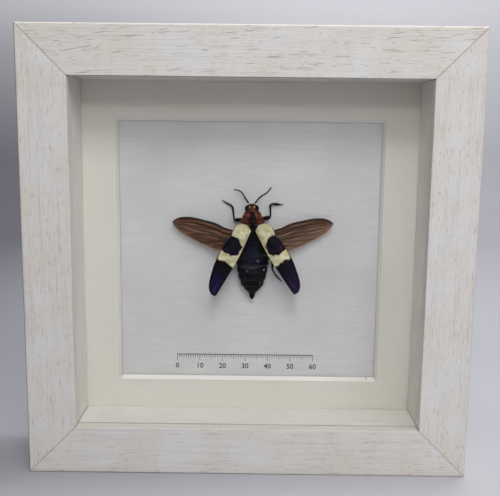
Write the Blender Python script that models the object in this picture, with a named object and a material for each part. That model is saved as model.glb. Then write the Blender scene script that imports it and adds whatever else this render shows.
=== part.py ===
"""Framed jewel beetle specimen: a deep box frame of lime-washed wood with a beetle set behind glass.

The frame stands upright on its bottom rail, as on a shelf. X is to the right, Y goes back into
the frame and Z is up. The origin is the middle of the whole frame's underside. Sizes are in
millimetres up to the moment a mesh is made.
"""
import math

import bmesh
import bpy
import numpy as np

for old in list(bpy.data.objects):
    bpy.data.objects.remove(old, do_unlink=True)

MM = 0.001
GAP = 0.3                      # clearance between pieces that touch

# Frame: outer size, and the depths of the layers behind its front face
FRAME_SIZE = 180.0             # width and height of the square frame
FRAME_DEPTH = 36.0
RAIL_WIDTH = 19.6              # visible face of a rail
REBATE_WALL = 13.6             # outer edge to the rebate's wall
LIP_DEPTH = 4.5                # thickness of the lip in front of the glass
ARRIS = 0.8                    # radius of the rounded edges
GLASS_SIZE = 152.0
GLASS_THICK = 2.0
SPACER_DEPTH = 18.6
SPACER_THICK = 4.6
SPACER_INNER = 18.75           # outer edge of the frame to the spacer's inner face
MAT_THICK = 1.4
MAT_WINDOW = 111.5             # side of the window at the back of the mat
MAT_WINDOW_DROP = 1.25         # the window's centre is this much below the frame's centre
MAT_BEVEL = 1.1
BOARD_THICK = 1.5
PANEL_THICK = 2.5
SHEET_SIZE = 151.8             # mat, board and back panel
HALF = FRAME_SIZE / 2

GLASS_FRONT = LIP_DEPTH + GAP
SPACER_FRONT = GLASS_FRONT + GLASS_THICK + GAP
MAT_FRONT = SPACER_FRONT + SPACER_DEPTH + GAP
BOARD_FRONT = MAT_FRONT + MAT_THICK + GAP
PANEL_FRONT = BOARD_FRONT + BOARD_THICK + GAP
PANEL_BACK = PANEL_FRONT + PANEL_THICK

# Fixings on the back
TAB_LENGTH = 14.0
TAB_REACH = 8.0
TAB_THICK = 0.5
TAB_OFFSET = 38.0              # each side has two tabs, this far from its middle
HANGER_WIDTH = 44.0
HANGER_HEIGHT = 7.0
HANGER_THICK = 0.8
HANGER_DROP = 24.0             # top of the frame to the hanger's top edge
HANGER_FOOT = 8.0              # flat end of the hanger that lies on the panel
HANGER_RAMP = 3.0
HANGER_RAISE = 1.9             # room behind the raised middle for the nail's head
HANGER_TEETH = 9
TOOTH_HEIGHT = 1.4
RIVET_RADIUS = 2.2

# Beetle: places are x and z from the frame's centre, and h out from the specimen board
BODY_X = 1.4
HEAD_X = 0.95
PRONOTUM_X = 1.2
ELYTRA_X = 1.6
HEAD_FRONT, HEAD_REAR = 20.15, 17.3
PRONOTUM_FRONT, PRONOTUM_REAR = 16.95, 11.1
THORAX_FRONT, THORAX_REAR = 10.6, -2.0
ABDOMEN_TIP = -21.4
WAIST_BOW = 0.9                # the joint between thorax and abdomen bows to the rear by this much
BODY_CLEARANCE = 1.25          # the body's underside stands this far off the board
ELYTRON_BASE = (0.93, 9.03)    # inner base corner, out from the midline and up
ELYTRON_ANGLE = {"left": 27.6, "right": 31.5}
ELYTRON_HEIGHT = 6.6           # underside of the elytron at its base
ELYTRON_LIFT = 0.14            # rise for each millimetre towards the tip
ELYTRON_ARCH = 1.25            # height of the dome across the elytron
ELYTRON_THICK = 0.55
WING_THICK = 0.45
WING_ROOT_HEIGHT = 5.1
WING_TIP_HEIGHT = 2.7
WING_FOLD = 0.22               # height of the radiating folds


def linear(hex_colour):
    """An sRGB hex colour as linear red, green and blue."""
    channels = [int(hex_colour[i:i + 2], 16) / 255 for i in (1, 3, 5)]
    return [c / 12.92 if c <= 0.04045 else ((c + 0.055) / 1.055) ** 2.4 for c in channels]


def material(name, hex_colour, roughness, metallic=0.0, transmission=0.0):
    """A Principled material with one colour."""
    made = bpy.data.materials.new(name)
    made.use_nodes = True
    shader = made.node_tree.nodes["Principled BSDF"]
    shader.inputs["Base Color"].default_value = (*linear(hex_colour), 1)
    shader.inputs["Roughness"].default_value = roughness
    shader.inputs["Metallic"].default_value = metallic
    shader.inputs["Transmission Weight"].default_value = transmission
    made.diffuse_color = (*linear(hex_colour), 1)
    return made


LIMED_WOOD = material("limed_wood", "#e9e4da", 0.62)
LIMED_SPACER = material("limed_spacer", "#e6e0d4", 0.66)
GLASS = material("float_glass", "#f4faf8", 0.02, transmission=1.0)
MAT_CARD = material("mat_card", "#ece8dc", 0.85)
WHITE_CARD = material("white_card", "#eef0f2", 0.9)
HARDBOARD = material("hardboard", "#8a6446", 0.75)
ZINC = material("zinc_plated_steel", "#b9bcbf", 0.35, metallic=1.0)
BRASSED = material("brassed_steel", "#b6924a", 0.32, metallic=1.0)
ELYTRON_CUTICLE = material("elytron_cuticle", "#c3bd93", 0.3)
WING_MEMBRANE = material("wing_membrane", "#6b4a3a", 0.45)
RED_CUTICLE = material("red_cuticle", "#6e2f2a", 0.3, metallic=0.4)
BLACK_CUTICLE = material("black_cuticle", "#15141c", 0.35)
BLUE_CUTICLE = material("blue_black_cuticle", "#14152b", 0.3, metallic=0.3)
CLEAR_GLUE = material("clear_glue", "#d9cfae", 0.25)


def solid(name, vertices, faces, finish, smooth_angle=None):
    """One closed solid from points in millimetres and faces, with its normals pointing out."""
    mesh = bpy.data.meshes.new(name)
    mesh.from_pydata([tuple(float(c) * MM for c in v) for v in vertices], [], faces)
    shape = bmesh.new()
    shape.from_mesh(mesh)
    bmesh.ops.recalc_face_normals(shape, faces=shape.faces)
    shape.to_mesh(mesh)
    shape.free()
    mesh.materials.append(finish)
    if smooth_angle is not None:
        mesh.shade_smooth()
        mesh.set_sharp_from_angle(angle=math.radians(smooth_angle))
    made = bpy.data.objects.new(name, mesh)
    bpy.context.scene.collection.objects.link(made)
    return made


def framed(right, depth, up):
    """Place a point given from the frame's front centre in the part's own axes."""
    return (right, depth - FRAME_DEPTH / 2, up + HALF)


def over_board(x, z, h):
    """Place a point that stands h out from the specimen board."""
    return framed(x, BOARD_FRONT - h, z)


def rounded(corner, before, after, radius, steps=3):
    """Points of an arc that rounds a square corner of a profile."""
    corner, before, after = (np.array(p, float) for p in (corner, before, after))
    to_before = (before - corner) / np.linalg.norm(before - corner)
    to_after = (after - corner) / np.linalg.norm(after - corner)
    centre = corner + radius * (to_before + to_after)
    angles = np.linspace(0, math.pi / 2, steps + 1)
    return [tuple(centre - radius * (math.cos(a) * to_after + math.sin(a) * to_before)) for a in angles]


def mitred_strip(name, profile, side, finish, smooth_angle=None):
    """A strip with mitred ends along one side of the frame.

    The profile's points are (inward from the frame's outer edge, depth behind its front face).
    """
    quarter_turns = ("bottom", "right", "top", "left").index(side)
    turn = quarter_turns * math.pi / 2
    end_cut = GAP / 2 * math.sqrt(2)
    vertices = []
    for end in (-1, 1):
        for inward, depth in profile:
            along = end * (HALF - inward - end_cut)
            across = inward - HALF
            right = along * math.cos(turn) - across * math.sin(turn)
            up = along * math.sin(turn) + across * math.cos(turn)
            vertices.append(framed(right, depth, up))
    count = len(profile)
    faces = [(i, (i + 1) % count, (i + 1) % count + count, i + count) for i in range(count)]
    faces += [tuple(range(count)), tuple(range(count, 2 * count))]
    return solid(name, vertices, faces, finish, smooth_angle)


def flat_box(name, width, height, front, thick, finish, centre=(0.0, 0.0)):
    """A flat rectangular sheet across the frame."""
    corners = [(sx * width / 2 + centre[0], front + back * thick, sz * height / 2 + centre[1])
               for back in (0, 1) for sx, sz in ((-1, -1), (1, -1), (1, 1), (-1, 1))]
    faces = [(0, 1, 2, 3), (7, 6, 5, 4), (0, 4, 5, 1), (1, 5, 6, 2), (2, 6, 7, 3), (3, 7, 4, 0)]
    return solid(name, [framed(*c) for c in corners], faces, finish)


def rail_profile():
    """Section of a rail: a rebated bar with soft edges where it shows."""
    front_outer, front_inner = (0, 0), (RAIL_WIDTH, 0)
    lip_back, rear_outer = (RAIL_WIDTH, LIP_DEPTH), (0, FRAME_DEPTH)
    points = rounded(front_outer, rear_outer, front_inner, ARRIS)
    points += rounded(front_inner, front_outer, lip_back, ARRIS)
    points += [lip_back, (REBATE_WALL, LIP_DEPTH), (REBATE_WALL, FRAME_DEPTH), rear_outer]
    return points


def make_frame():
    """The four rails, the glass and the layers that stand behind it."""
    spacer_outer = SPACER_INNER - SPACER_THICK
    spacer_profile = [(spacer_outer, SPACER_FRONT), (SPACER_INNER, SPACER_FRONT),
                      (SPACER_INNER, SPACER_FRONT + SPACER_DEPTH),
                      (spacer_outer, SPACER_FRONT + SPACER_DEPTH)]
    for side in ("top", "bottom", "left", "right"):
        mitred_strip(f"rail_{side}", rail_profile(), side, LIMED_WOOD, 40)
        mitred_strip(f"spacer_{side}", spacer_profile, side, LIMED_SPACER)
    flat_box("glass", GLASS_SIZE, GLASS_SIZE, GLASS_FRONT, GLASS_THICK, GLASS)
    flat_box("specimen_board", SHEET_SIZE, SHEET_SIZE, BOARD_FRONT, BOARD_THICK, WHITE_CARD)
    flat_box("back_panel", SHEET_SIZE, SHEET_SIZE, PANEL_FRONT, PANEL_THICK, HARDBOARD)


def make_mat():
    """The mat: a square card whose window has a bevelled edge."""
    window = MAT_WINDOW / 2
    loops = [(SHEET_SIZE / 2, 0, 0), (window + MAT_BEVEL, 0, MAT_WINDOW_DROP),
             (window, MAT_THICK, MAT_WINDOW_DROP), (SHEET_SIZE / 2, MAT_THICK, 0)]
    vertices = []
    for half, behind, drop in loops:
        for sx, sz in ((-1, -1), (1, -1), (1, 1), (-1, 1)):
            vertices.append(framed(sx * half, MAT_FRONT + behind, sz * half - drop))
    faces = []
    for loop in range(4):
        here, there = 4 * loop, 4 * ((loop + 1) % 4)
        faces += [(here + k, here + (k + 1) % 4, there + (k + 1) % 4, there + k) for k in range(4)]
    return solid("mat", vertices, faces, MAT_CARD)


def make_tabs():
    """Flexible steel tabs that stand out of the rebate's wall over the back panel."""
    inner_edge = REBATE_WALL + GAP + TAB_REACH
    for side in ("top", "bottom", "left", "right"):
        for number, offset in enumerate((-TAB_OFFSET, TAB_OFFSET), start=1):
            centre = HALF - (inner_edge + REBATE_WALL + GAP) / 2
            upright = side in ("left", "right")
            sign = -1 if side in ("bottom", "left") else 1
            place = (sign * centre, offset) if upright else (offset, sign * centre)
            width, height = (TAB_REACH, TAB_LENGTH) if upright else (TAB_LENGTH, TAB_REACH)
            name = f"retaining_tab_{side}_{number}"
            flat_box(name, width, height, PANEL_BACK + GAP, TAB_THICK, ZINC, place)


def make_hanger():
    """A toothed picture hanger: flat ends riveted to the back panel, and a raised middle for the nail."""
    top = HALF - HANGER_DROP
    flat_end = HANGER_WIDTH / 2 - HANGER_FOOT
    raised = flat_end - HANGER_RAMP
    stations = [(-HANGER_WIDTH / 2, 0.0), (-flat_end, 0.0)]
    stations += [(x, HANGER_RAISE) for x in np.linspace(-raised, raised, 2 * HANGER_TEETH + 1)]
    stations += [(flat_end, 0.0), (HANGER_WIDTH / 2, 0.0)]
    rings = []
    for number, (x, raise_by) in enumerate(stations):
        front = PANEL_BACK + GAP + raise_by
        tooth = TOOTH_HEIGHT if raise_by and number % 2 else 0.0
        bottom = top - HANGER_HEIGHT + tooth
        rings.append([framed(x, front, top), framed(x, front + HANGER_THICK, top),
                      framed(x, front + HANGER_THICK, bottom), framed(x, front, bottom)])
    loft("hanger", rings, BRASSED, None)
    rivet_front = PANEL_BACK + GAP + HANGER_THICK + GAP
    for name, sign in (("left", -1), ("right", 1)):
        x, z = sign * (HANGER_WIDTH - HANGER_FOOT) / 2, top - HANGER_HEIGHT / 2
        rings = []
        for radius, rise in ((RIVET_RADIUS, 0.0), (RIVET_RADIUS * 0.85, 0.45), (RIVET_RADIUS * 0.4, 0.75)):
            angles = np.linspace(0, 2 * math.pi, 16, endpoint=False)
            rings.append([framed(x + radius * math.cos(a), rivet_front + rise, z + radius * math.sin(a))
                          for a in angles])
        loft(f"hanger_rivet_{name}", rings, BRASSED)


def loft(name, rings, finish, smooth_angle=50):
    """A solid skin over rings of the same number of points, closed with a face at each end."""
    count = len(rings[0])
    vertices = [point for ring in rings for point in ring]
    faces = []
    for k in range(len(rings) - 1):
        here, there = k * count, (k + 1) * count
        for i in range(count):
            after = (i + 1) % count
            faces.append((here + i, here + after, there + after, there + i))
    faces += [tuple(range(count)), tuple(range(len(vertices) - count, len(vertices)))]
    return solid(name, vertices, faces, finish, smooth_angle)


def curve_through(points, samples):
    """Evenly parametrised samples of a smooth (Catmull-Rom) curve through the points."""
    points = np.array(points, float)
    padded = np.vstack([2 * points[0] - points[1], points, 2 * points[-1] - points[-2]])
    place = np.linspace(0, len(points) - 1, samples)
    span = np.minimum(place.astype(int), len(points) - 2)
    t = (place - span)[:, None]
    a, b, c, d = (padded[span + k] for k in range(4))
    bend = (2 * a - 5 * b + 4 * c - d) * t ** 2 + (3 * b - a - 3 * c + d) * t ** 3
    return 0.5 * (2 * b + (c - a) * t + bend)


def between(table, place):
    """Value at a place, read along straight lines between (place, value) pairs of a table."""
    places, values = zip(*sorted(table))
    return float(np.interp(place, places, values))


def sheet(name, outer, inner, finish):
    """A thin closed solid between two grids of points of the same shape."""
    rows, columns = len(outer), len(outer[0])
    vertices = [point for grid in (outer, inner) for row in grid for point in row]
    shift = rows * columns
    faces = []
    for i in range(rows - 1):
        for j in range(columns - 1):
            quad = (i * columns + j, i * columns + j + 1, (i + 1) * columns + j + 1, (i + 1) * columns + j)
            faces += [quad, tuple(index + shift for index in reversed(quad))]
    rim = list(range(columns))
    rim += [i * columns + columns - 1 for i in range(1, rows)]
    rim += [(rows - 1) * columns + j for j in range(columns - 2, -1, -1)]
    rim += [i * columns for i in range(rows - 2, 0, -1)]
    for here, there in zip(rim, rim[1:] + rim[:1]):
        faces.append((here, there, there + shift, here + shift))
    return solid(name, vertices, faces, finish, 50)


# Outline of an elytron: along its seam edge from the base, and outwards across it
ELYTRON_SEAM = [(0.0, 0.0), (7.0, -0.5), (14.0, -0.75), (22.0, -0.35), (28.0, -0.05), (31.1, 0.15)]
ELYTRON_MARGIN = [(-0.45, 5.2), (1.2, 6.6), (3.5, 6.9), (6.0, 6.55), (9.5, 7.25), (14.0, 7.45),
                  (19.0, 7.2), (23.5, 6.4), (27.0, 5.5), (29.5, 4.4), (31.0, 3.0), (31.5, 1.9)]
ELYTRON_BASE_BULGE = 1.05


def elytron_height(along, share):
    """Height over the board of the elytron's underside, share running 0 to 1 across it."""
    dome = ELYTRON_ARCH * (1 - (2 * share - 1) ** 2) * math.sqrt(max(0.0, 1 - (along / 33) ** 4))
    droop = max(0.0, (along - 22) / 9) ** 2
    return ELYTRON_HEIGHT + ELYTRON_LIFT * along + dome - droop


def make_elytron(side):
    """One wing case: a domed shell hinged at its base and swung out from the midline."""
    sign = -1 if side == "left" else 1
    angle = math.radians(ELYTRON_ANGLE[side])
    axis = (sign * math.sin(angle), -math.cos(angle))
    across = (sign * math.cos(angle), math.sin(angle))
    rows, columns = 17, 8
    seam, margin = curve_through(ELYTRON_SEAM, rows), curve_through(ELYTRON_MARGIN, rows)
    outer, inner = [], []
    for i in range(rows):
        bulge = ELYTRON_BASE_BULGE * (1 - i / (rows - 1)) ** 6
        outer_row, inner_row = [], []
        for j in range(columns):
            share = j / (columns - 1)
            along, out = seam[i] + (margin[i] - seam[i]) * share
            along -= bulge * math.sin(math.pi * share)
            x = ELYTRA_X + sign * ELYTRON_BASE[0] + along * axis[0] + out * across[0]
            z = ELYTRON_BASE[1] + along * axis[1] + out * across[1]
            h = elytron_height(along, share)
            inner_row.append(over_board(x, z, h))
            outer_row.append(over_board(x, z, h + ELYTRON_THICK))
        outer.append(outer_row)
        inner.append(inner_row)
    return sheet(f"elytron_{side}", outer, inner, ELYTRON_CUTICLE)


# Edges of a spread hindwing from root to tip: out from the body's midline, and up
WING_ROOT = 5.3                # out from the midline
WING_LEADING = [(WING_ROOT, 7.7), (9.2, 9.2), (12.4, 10.2), (16.0, 11.9), (21.0, 13.1), (26.0, 14.15),
                (30.5, 14.15), (33.2, 13.1), (34.4, 12.1)]
WING_TRAILING = [(WING_ROOT, 4.9), (6.6, 1.2), (9.8, -0.75), (14.6, -0.05), (18.2, 1.25), (22.6, 3.1),
                 (27.0, 5.3), (30.8, 7.7), (33.2, 10.0), (34.4, 11.5)]


def make_hindwing(side):
    """One hindwing: a thin sheet with folds that fan out from its root."""
    sign = -1 if side == "left" else 1
    rows, columns = 17, 11
    leading, trailing = curve_through(WING_LEADING, rows), curve_through(WING_TRAILING, rows)
    outer, inner = [], []
    for i in range(rows):
        outer_row, inner_row = [], []
        for j in range(columns):
            share = j / (columns - 1)
            out, up = leading[i] + (trailing[i] - leading[i]) * share
            reach = (out - WING_ROOT) / (WING_LEADING[-1][0] - WING_ROOT)
            fold = WING_FOLD * (-1) ** j * math.sin(math.pi * min(1.0, reach + 0.15))
            fold *= 0 < j < columns - 1
            drop = (WING_TIP_HEIGHT - WING_ROOT_HEIGHT) * math.sin(math.pi / 2 * reach)
            h = WING_ROOT_HEIGHT + drop + fold
            outer_row.append(over_board(BODY_X + sign * out, up, h))
            inner_row.append(over_board(BODY_X + sign * out, up, h - WING_THICK))
        outer.append(outer_row)
        inner.append(inner_row)
    return sheet(f"hindwing_{side}", outer, inner, WING_MEMBRANE)


def body_ring(centre, z_of, half_width, top, bottom, sides=20, squareness=0.8):
    """A ring round the body: a rounded section, widest a little above its middle.

    z_of gives the ring's place along the body for a distance out from the midline.
    """
    belt = bottom + 0.5 * (top - bottom)
    ring = []
    for k in range(sides):
        turn = 2 * math.pi * k / sides
        out, rise = math.cos(turn), math.sin(turn)
        out = math.copysign(abs(out) ** squareness, out)
        rise = math.copysign(abs(rise) ** squareness, rise)
        x = half_width * out
        h = belt + rise * ((top - belt) if rise > 0 else (belt - bottom))
        ring.append(over_board(centre + x, z_of(x), h))
    return ring


# Abdomen: half width and height of the back along it, and where its plates end
ABDOMEN_WIDTH = [(-2.3, 6.8), (-5.0, 6.9), (-7.3, 6.6), (-10.4, 6.1), (-13.4, 5.2), (-15.4, 4.45),
                 (-16.6, 3.4), (-17.7, 2.15), (-18.7, 1.35), (-20.4, 0.98), (-21.1, 0.62), (-21.4, 0.25)]
ABDOMEN_TOP = [(-2.3, 6.1), (-7.0, 6.1), (-11.0, 5.4), (-15.0, 4.4), (-17.7, 3.5), (-20.4, 2.9),
               (-21.4, 2.3)]
PLATE_ENDS = [-2.3, -6.0, -9.2, -12.5, -15.4, -17.7]
PLATE_STEP = 0.32              # each plate's rear edge stands this much over the next one


def bowed(z, half_width):
    """The place along the body of a plate's edge, which bows to the rear at the midline."""
    bow = WAIST_BOW * (1 - z / ABDOMEN_TIP) if z < 0 else WAIST_BOW * max(0.0, 1 - z / 8)
    return lambda x: z - bow * (1 - (x / half_width) ** 2)


def make_abdomen():
    """The abdomen: overlapping plates that narrow to a blunt tail."""
    rings = []

    def ring_at(z, stand_out):
        width = between(ABDOMEN_WIDTH, z) + stand_out
        top = between(ABDOMEN_TOP, z) + stand_out * 0.7
        bottom = BODY_CLEARANCE + 0.8 * (z / ABDOMEN_TIP) ** 4
        rings.append(body_ring(BODY_X, bowed(z, width), width, top, bottom))

    for start, end in zip(PLATE_ENDS, PLATE_ENDS[1:]):
        ring_at(start - 0.02, -PLATE_STEP)
        ring_at(start + 0.45 * (end - start), -PLATE_STEP * 0.2)
        ring_at(end + 0.25, PLATE_STEP * 0.5)
        ring_at(end + 0.05, PLATE_STEP * 0.2)
    for z in (-17.9, -18.7, -19.6, -20.4, -21.1, ABDOMEN_TIP):
        ring_at(z, 0.0)
    return loft("abdomen", rings, BLUE_CUTICLE)


def make_thorax():
    """The body under the wing cases, with the small shield between their bases."""
    rings = []
    for z, width, top in ((THORAX_FRONT, 4.2, 5.0), (10.1, 4.9, 5.6), (8.2, 5.6, 5.9), (5.0, 6.2, 5.0),
                          (1.0, 6.6, 5.1), (THORAX_REAR + 0.3, 6.8, 5.8), (THORAX_REAR, 6.7, 5.7)):
        rings.append(body_ring(BODY_X, bowed(z, width), width, top, BODY_CLEARANCE))
    body = loft("thorax", rings, BLACK_CUTICLE)
    shield = loft("scutellum_shape", [
        [over_board(BODY_X + 1.25 * x * grow, 9.5 + 0.95 * z * grow, h)
         for x, z in ((-1, 1), (1, 1), (0.9, 0.1), (0, -1.2), (-0.9, 0.1))]
        for grow, h in ((1.0, 4.4), (1.0, 6.3), (0.7, 6.6))], BLACK_CUTICLE)
    join = body.modifiers.new("scutellum", "BOOLEAN")
    join.operation = "UNION"
    join.solver = "EXACT"
    join.object = shield
    shield.hide_render = True
    shield.display_type = "WIRE"
    return body


def make_pronotum():
    """The shield behind the head: it widens to the rear and its rear edge waves."""
    def place(share):
        def z_of(x):
            rear = PRONOTUM_REAR + 0.95 * min(1.0, abs(x) / 5.2) ** 0.8
            return PRONOTUM_FRONT + (rear - PRONOTUM_FRONT) * share
        return z_of

    rings = []
    stations = [(0.0, 2.95, 5.3, 1.7), (0.05, 3.2, 5.6, 1.5), (0.3, 3.85, 6.3, 1.3), (0.55, 4.45, 6.75, 1.25),
                (0.8, 4.95, 6.75, 1.25), (0.93, 5.2, 6.4, 1.3), (1.0, 4.8, 5.9, 1.7)]
    for share, width, top, bottom in stations:
        rings.append(body_ring(PRONOTUM_X, place(share), width, top, bottom))
    return loft("pronotum", rings, RED_CUTICLE)


def make_head():
    """The head, bent down to the front, with the two large eyes it carries at its sides."""
    rings = []
    stations = [(HEAD_REAR, 2.5, 4.9, 1.6), (17.6, 2.65, 5.05, 1.4), (18.6, 2.45, 4.7, 1.3), (19.4, 1.9, 4.0, 1.3),
                (19.95, 1.35, 3.3, 1.5), (HEAD_FRONT, 0.9, 2.9, 1.9)]
    for z, width, top, bottom in stations:
        rings.append(body_ring(HEAD_X, lambda x, z=z: z, width, top, bottom, sides=16))
    head = loft("head", rings, RED_CUTICLE)
    for number, sign in enumerate((-1, 1)):
        bpy.ops.mesh.primitive_uv_sphere_add(segments=12, ring_count=8, radius=MM)
        eye = bpy.context.object
        eye.name = f"eye_{number}"
        eye.scale = (0.85, 1.35, 1.12)
        eye.location = [c * MM for c in over_board(HEAD_X + sign * 2.2, 18.3, 3.5)]
        eye.rotation_euler = (0, math.radians(-14 * sign), 0)
        eye.hide_render = True
        eye.display_type = "WIRE"
        join = head.modifiers.new(f"eye_{number}", "BOOLEAN")
        join.operation = "UNION"
        join.solver = "EXACT"
        join.object = eye
    return head


def tube(name, path, finish, sides=8):
    """A limb along a path of (x, z, h, radius): a ring at each point, square to the path."""
    points = np.array([over_board(*p[:3]) for p in path])
    tangents = np.gradient(points, axis=0)
    tangents /= np.linalg.norm(tangents, axis=1)[:, None]
    normal = np.array((0.0, -1.0, 0.0))
    rings = []
    for point, tangent, (_, _, _, radius) in zip(points, tangents, path):
        side = np.cross(tangent, normal)
        side /= np.linalg.norm(side)
        up = np.cross(side, tangent)
        ring = []
        for k in range(sides):
            turn = 2 * math.pi * k / sides
            away = math.cos(turn) * side + math.sin(turn) * up
            ring.append(tuple(point + radius * away))
        rings.append(ring)
    return loft(name, rings, finish)


# Antennae: x, z and h of the middle line, from the head outwards
ANTENNA_LEFT = [(-0.45, 20.35, 2.6), (-1.5, 21.85, 2.7), (-2.45, 23.3, 2.6), (-3.0, 24.3, 2.5),
                (-3.75, 25.1, 2.3), (-4.8, 25.7, 2.1), (-5.8, 25.9, 1.9), (-6.9, 25.85, 1.7)]
ANTENNA_RIGHT = [(2.2, 20.3, 2.6), (2.7, 21.0, 2.7), (3.5, 22.05, 2.7), (4.5, 23.1, 2.6),
                 (5.7, 23.9, 2.5), (6.85, 24.55, 2.4), (7.6, 25.2, 2.4), (8.25, 26.1, 2.4),
                 (9.05, 27.15, 2.5)]
ANTENNA_JOINTS = 11


def make_antenna(side, points):
    """A saw-edged antenna: each joint swells towards its outer end."""
    line = curve_through(points, 2 * ANTENNA_JOINTS + 1)
    path = []
    for k, (x, z, h) in enumerate(line):
        thickness = 0.27 - 0.07 * k / len(line)
        path.append((x, z, h, thickness * (1.12 if k % 2 else 0.82)))
    return tube(f"antenna_{side}", path, BLACK_CUTICLE, sides=6)


# Legs: x, z, h and radius along thigh, shin and foot
LEGS = {
    "foreleg_left": [(-3.95, 13.2, 1.7, 0.42), (-5.0, 13.1, 1.9, 0.52), (-6.0, 13.05, 2.0, 0.42),
                     (-6.45, 13.35, 2.0, 0.3), (-6.7, 14.4, 1.7, 0.25), (-7.0, 16.5, 1.3, 0.28),
                     (-7.35, 18.3, 1.0, 0.34), (-7.6, 18.85, 0.95, 0.24), (-8.25, 19.3, 0.9, 0.36),
                     (-8.75, 19.55, 0.9, 0.24), (-9.4, 19.85, 0.9, 0.36), (-9.9, 20.15, 0.85, 0.22),
                     (-10.5, 20.5, 0.85, 0.34), (-10.9, 20.75, 0.8, 0.16), (-11.4, 21.1, 0.75, 0.26)],
    "foreleg_right": [(6.45, 13.85, 1.7, 0.45), (7.3, 14.05, 1.9, 0.58), (8.2, 14.3, 2.0, 0.45),
                      (8.75, 14.6, 2.0, 0.32), (8.95, 15.6, 1.7, 0.27), (8.9, 17.3, 1.3, 0.28),
                      (8.78, 19.0, 1.0, 0.36), (8.95, 19.55, 0.95, 0.3), (9.6, 19.95, 0.9, 0.3),
                      (10.6, 20.0, 0.95, 0.4), (11.6, 19.9, 0.95, 0.44), (12.6, 19.8, 0.85, 0.32),
                      (13.2, 19.75, 0.8, 0.18), (13.8, 19.7, 0.75, 0.26)],
    "midleg_left": [(-6.1, 3.4, 1.6, 0.45), (-7.6, 2.6, 2.0, 0.55), (-9.3, 1.6, 2.3, 0.45), (-9.9, 0.9, 2.3, 0.3),
                    (-10.6, -1.6, 1.8, 0.26), (-11.5, -4.2, 1.2, 0.3), (-12.0, -5.3, 1.0, 0.22),
                    (-12.6, -7.0, 0.9, 0.32), (-13.2, -8.6, 0.8, 0.24)],
    "midleg_right": [(8.9, 3.4, 1.6, 0.45), (10.4, 2.6, 2.0, 0.55), (12.0, 1.7, 2.3, 0.45), (12.7, 1.0, 2.3, 0.3),
                     (13.6, -1.2, 1.8, 0.26), (14.8, -3.6, 1.2, 0.3), (15.5, -4.6, 1.0, 0.22),
                     (16.4, -6.2, 0.9, 0.32), (17.2, -7.6, 0.8, 0.24)],
    "hindleg_left": [(-6.3, -3.4, 1.6, 0.4), (-7.4, -4.6, 1.7, 0.5), (-8.6, -6.4, 1.6, 0.4), (-9.1, -7.2, 1.5, 0.3),
                     (-10.0, -9.2, 1.2, 0.26), (-11.0, -11.0, 1.0, 0.3), (-11.7, -12.0, 0.9, 0.22),
                     (-12.6, -13.4, 0.8, 0.32), (-13.3, -14.4, 0.8, 0.22)],
    "hindleg_right": [(9.2, -3.3, 1.6, 0.4), (10.0, -4.6, 1.6, 0.42), (10.25, -6.2, 1.5, 0.34),
                      (10.0, -7.9, 1.4, 0.26), (10.5, -9.2, 1.2, 0.27), (11.2, -10.4, 1.0, 0.24),
                      (11.8, -11.25, 0.9, 0.34), (12.3, -11.85, 0.9, 0.22), (12.85, -12.4, 0.85, 0.34),
                      (13.3, -12.8, 0.8, 0.2), (14.1, -13.5, 0.75, 0.26)],
}


def make_glue():
    """The low dab of glue that holds the beetle's underside to the board."""
    rings = []
    for radius, h in ((3.0, GAP), (2.8, 0.6), (2.2, BODY_CLEARANCE - GAP)):
        angles = np.linspace(0, 2 * math.pi, 20, endpoint=False)
        ring = []
        for a in angles:
            ring.append(over_board(BODY_X + radius * math.cos(a), 3.0 + 1.3 * radius * math.sin(a), h))
        rings.append(ring)
    return loft("glue_dab", rings, CLEAR_GLUE)


make_frame()
make_mat()
make_tabs()
make_hanger()
make_head()
make_pronotum()
make_thorax()
make_abdomen()
for side in ("left", "right"):
    make_elytron(side)
    make_hindwing(side)
make_antenna("left", ANTENNA_LEFT)
make_antenna("right", ANTENNA_RIGHT)
for leg_name, leg_path in LEGS.items():
    tube(leg_name, leg_path, BLACK_CUTICLE)
make_glue()
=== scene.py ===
"""Looks of the framed jewel beetle specimen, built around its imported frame.

X is to the right, Y goes back into the frame and Z is up. Shapes are worked out in millimetres
and turned to metres when a mesh is made.
"""

import math

import bpy
import numpy as np
from mathutils import Matrix, Vector


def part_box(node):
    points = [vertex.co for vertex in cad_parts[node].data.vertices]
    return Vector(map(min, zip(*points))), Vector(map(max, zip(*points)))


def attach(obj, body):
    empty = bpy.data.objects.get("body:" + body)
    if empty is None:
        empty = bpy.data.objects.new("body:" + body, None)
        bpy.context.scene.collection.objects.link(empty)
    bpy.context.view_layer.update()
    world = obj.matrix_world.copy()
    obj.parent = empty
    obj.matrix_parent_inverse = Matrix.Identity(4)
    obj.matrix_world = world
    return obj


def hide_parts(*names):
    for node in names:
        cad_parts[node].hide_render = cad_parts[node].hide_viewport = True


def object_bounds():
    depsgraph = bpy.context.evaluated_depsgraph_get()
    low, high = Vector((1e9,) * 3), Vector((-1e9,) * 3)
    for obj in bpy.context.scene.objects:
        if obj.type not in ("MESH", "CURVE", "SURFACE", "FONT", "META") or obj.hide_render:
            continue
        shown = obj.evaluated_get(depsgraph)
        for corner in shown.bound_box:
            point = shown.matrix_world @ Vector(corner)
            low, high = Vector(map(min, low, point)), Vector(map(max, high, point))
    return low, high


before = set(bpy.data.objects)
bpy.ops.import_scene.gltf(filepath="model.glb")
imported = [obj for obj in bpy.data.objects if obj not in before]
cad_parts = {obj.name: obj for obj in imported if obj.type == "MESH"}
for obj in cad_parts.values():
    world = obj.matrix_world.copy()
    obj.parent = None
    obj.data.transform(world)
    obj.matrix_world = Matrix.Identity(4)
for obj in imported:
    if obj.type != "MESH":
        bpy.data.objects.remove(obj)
cad_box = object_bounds()

MM = 0.001


def measured(node):
    """Lowest and highest corner of a CAD node, in millimetres."""
    low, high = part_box(node)
    return np.array(low) / MM, np.array(high) / MM


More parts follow.
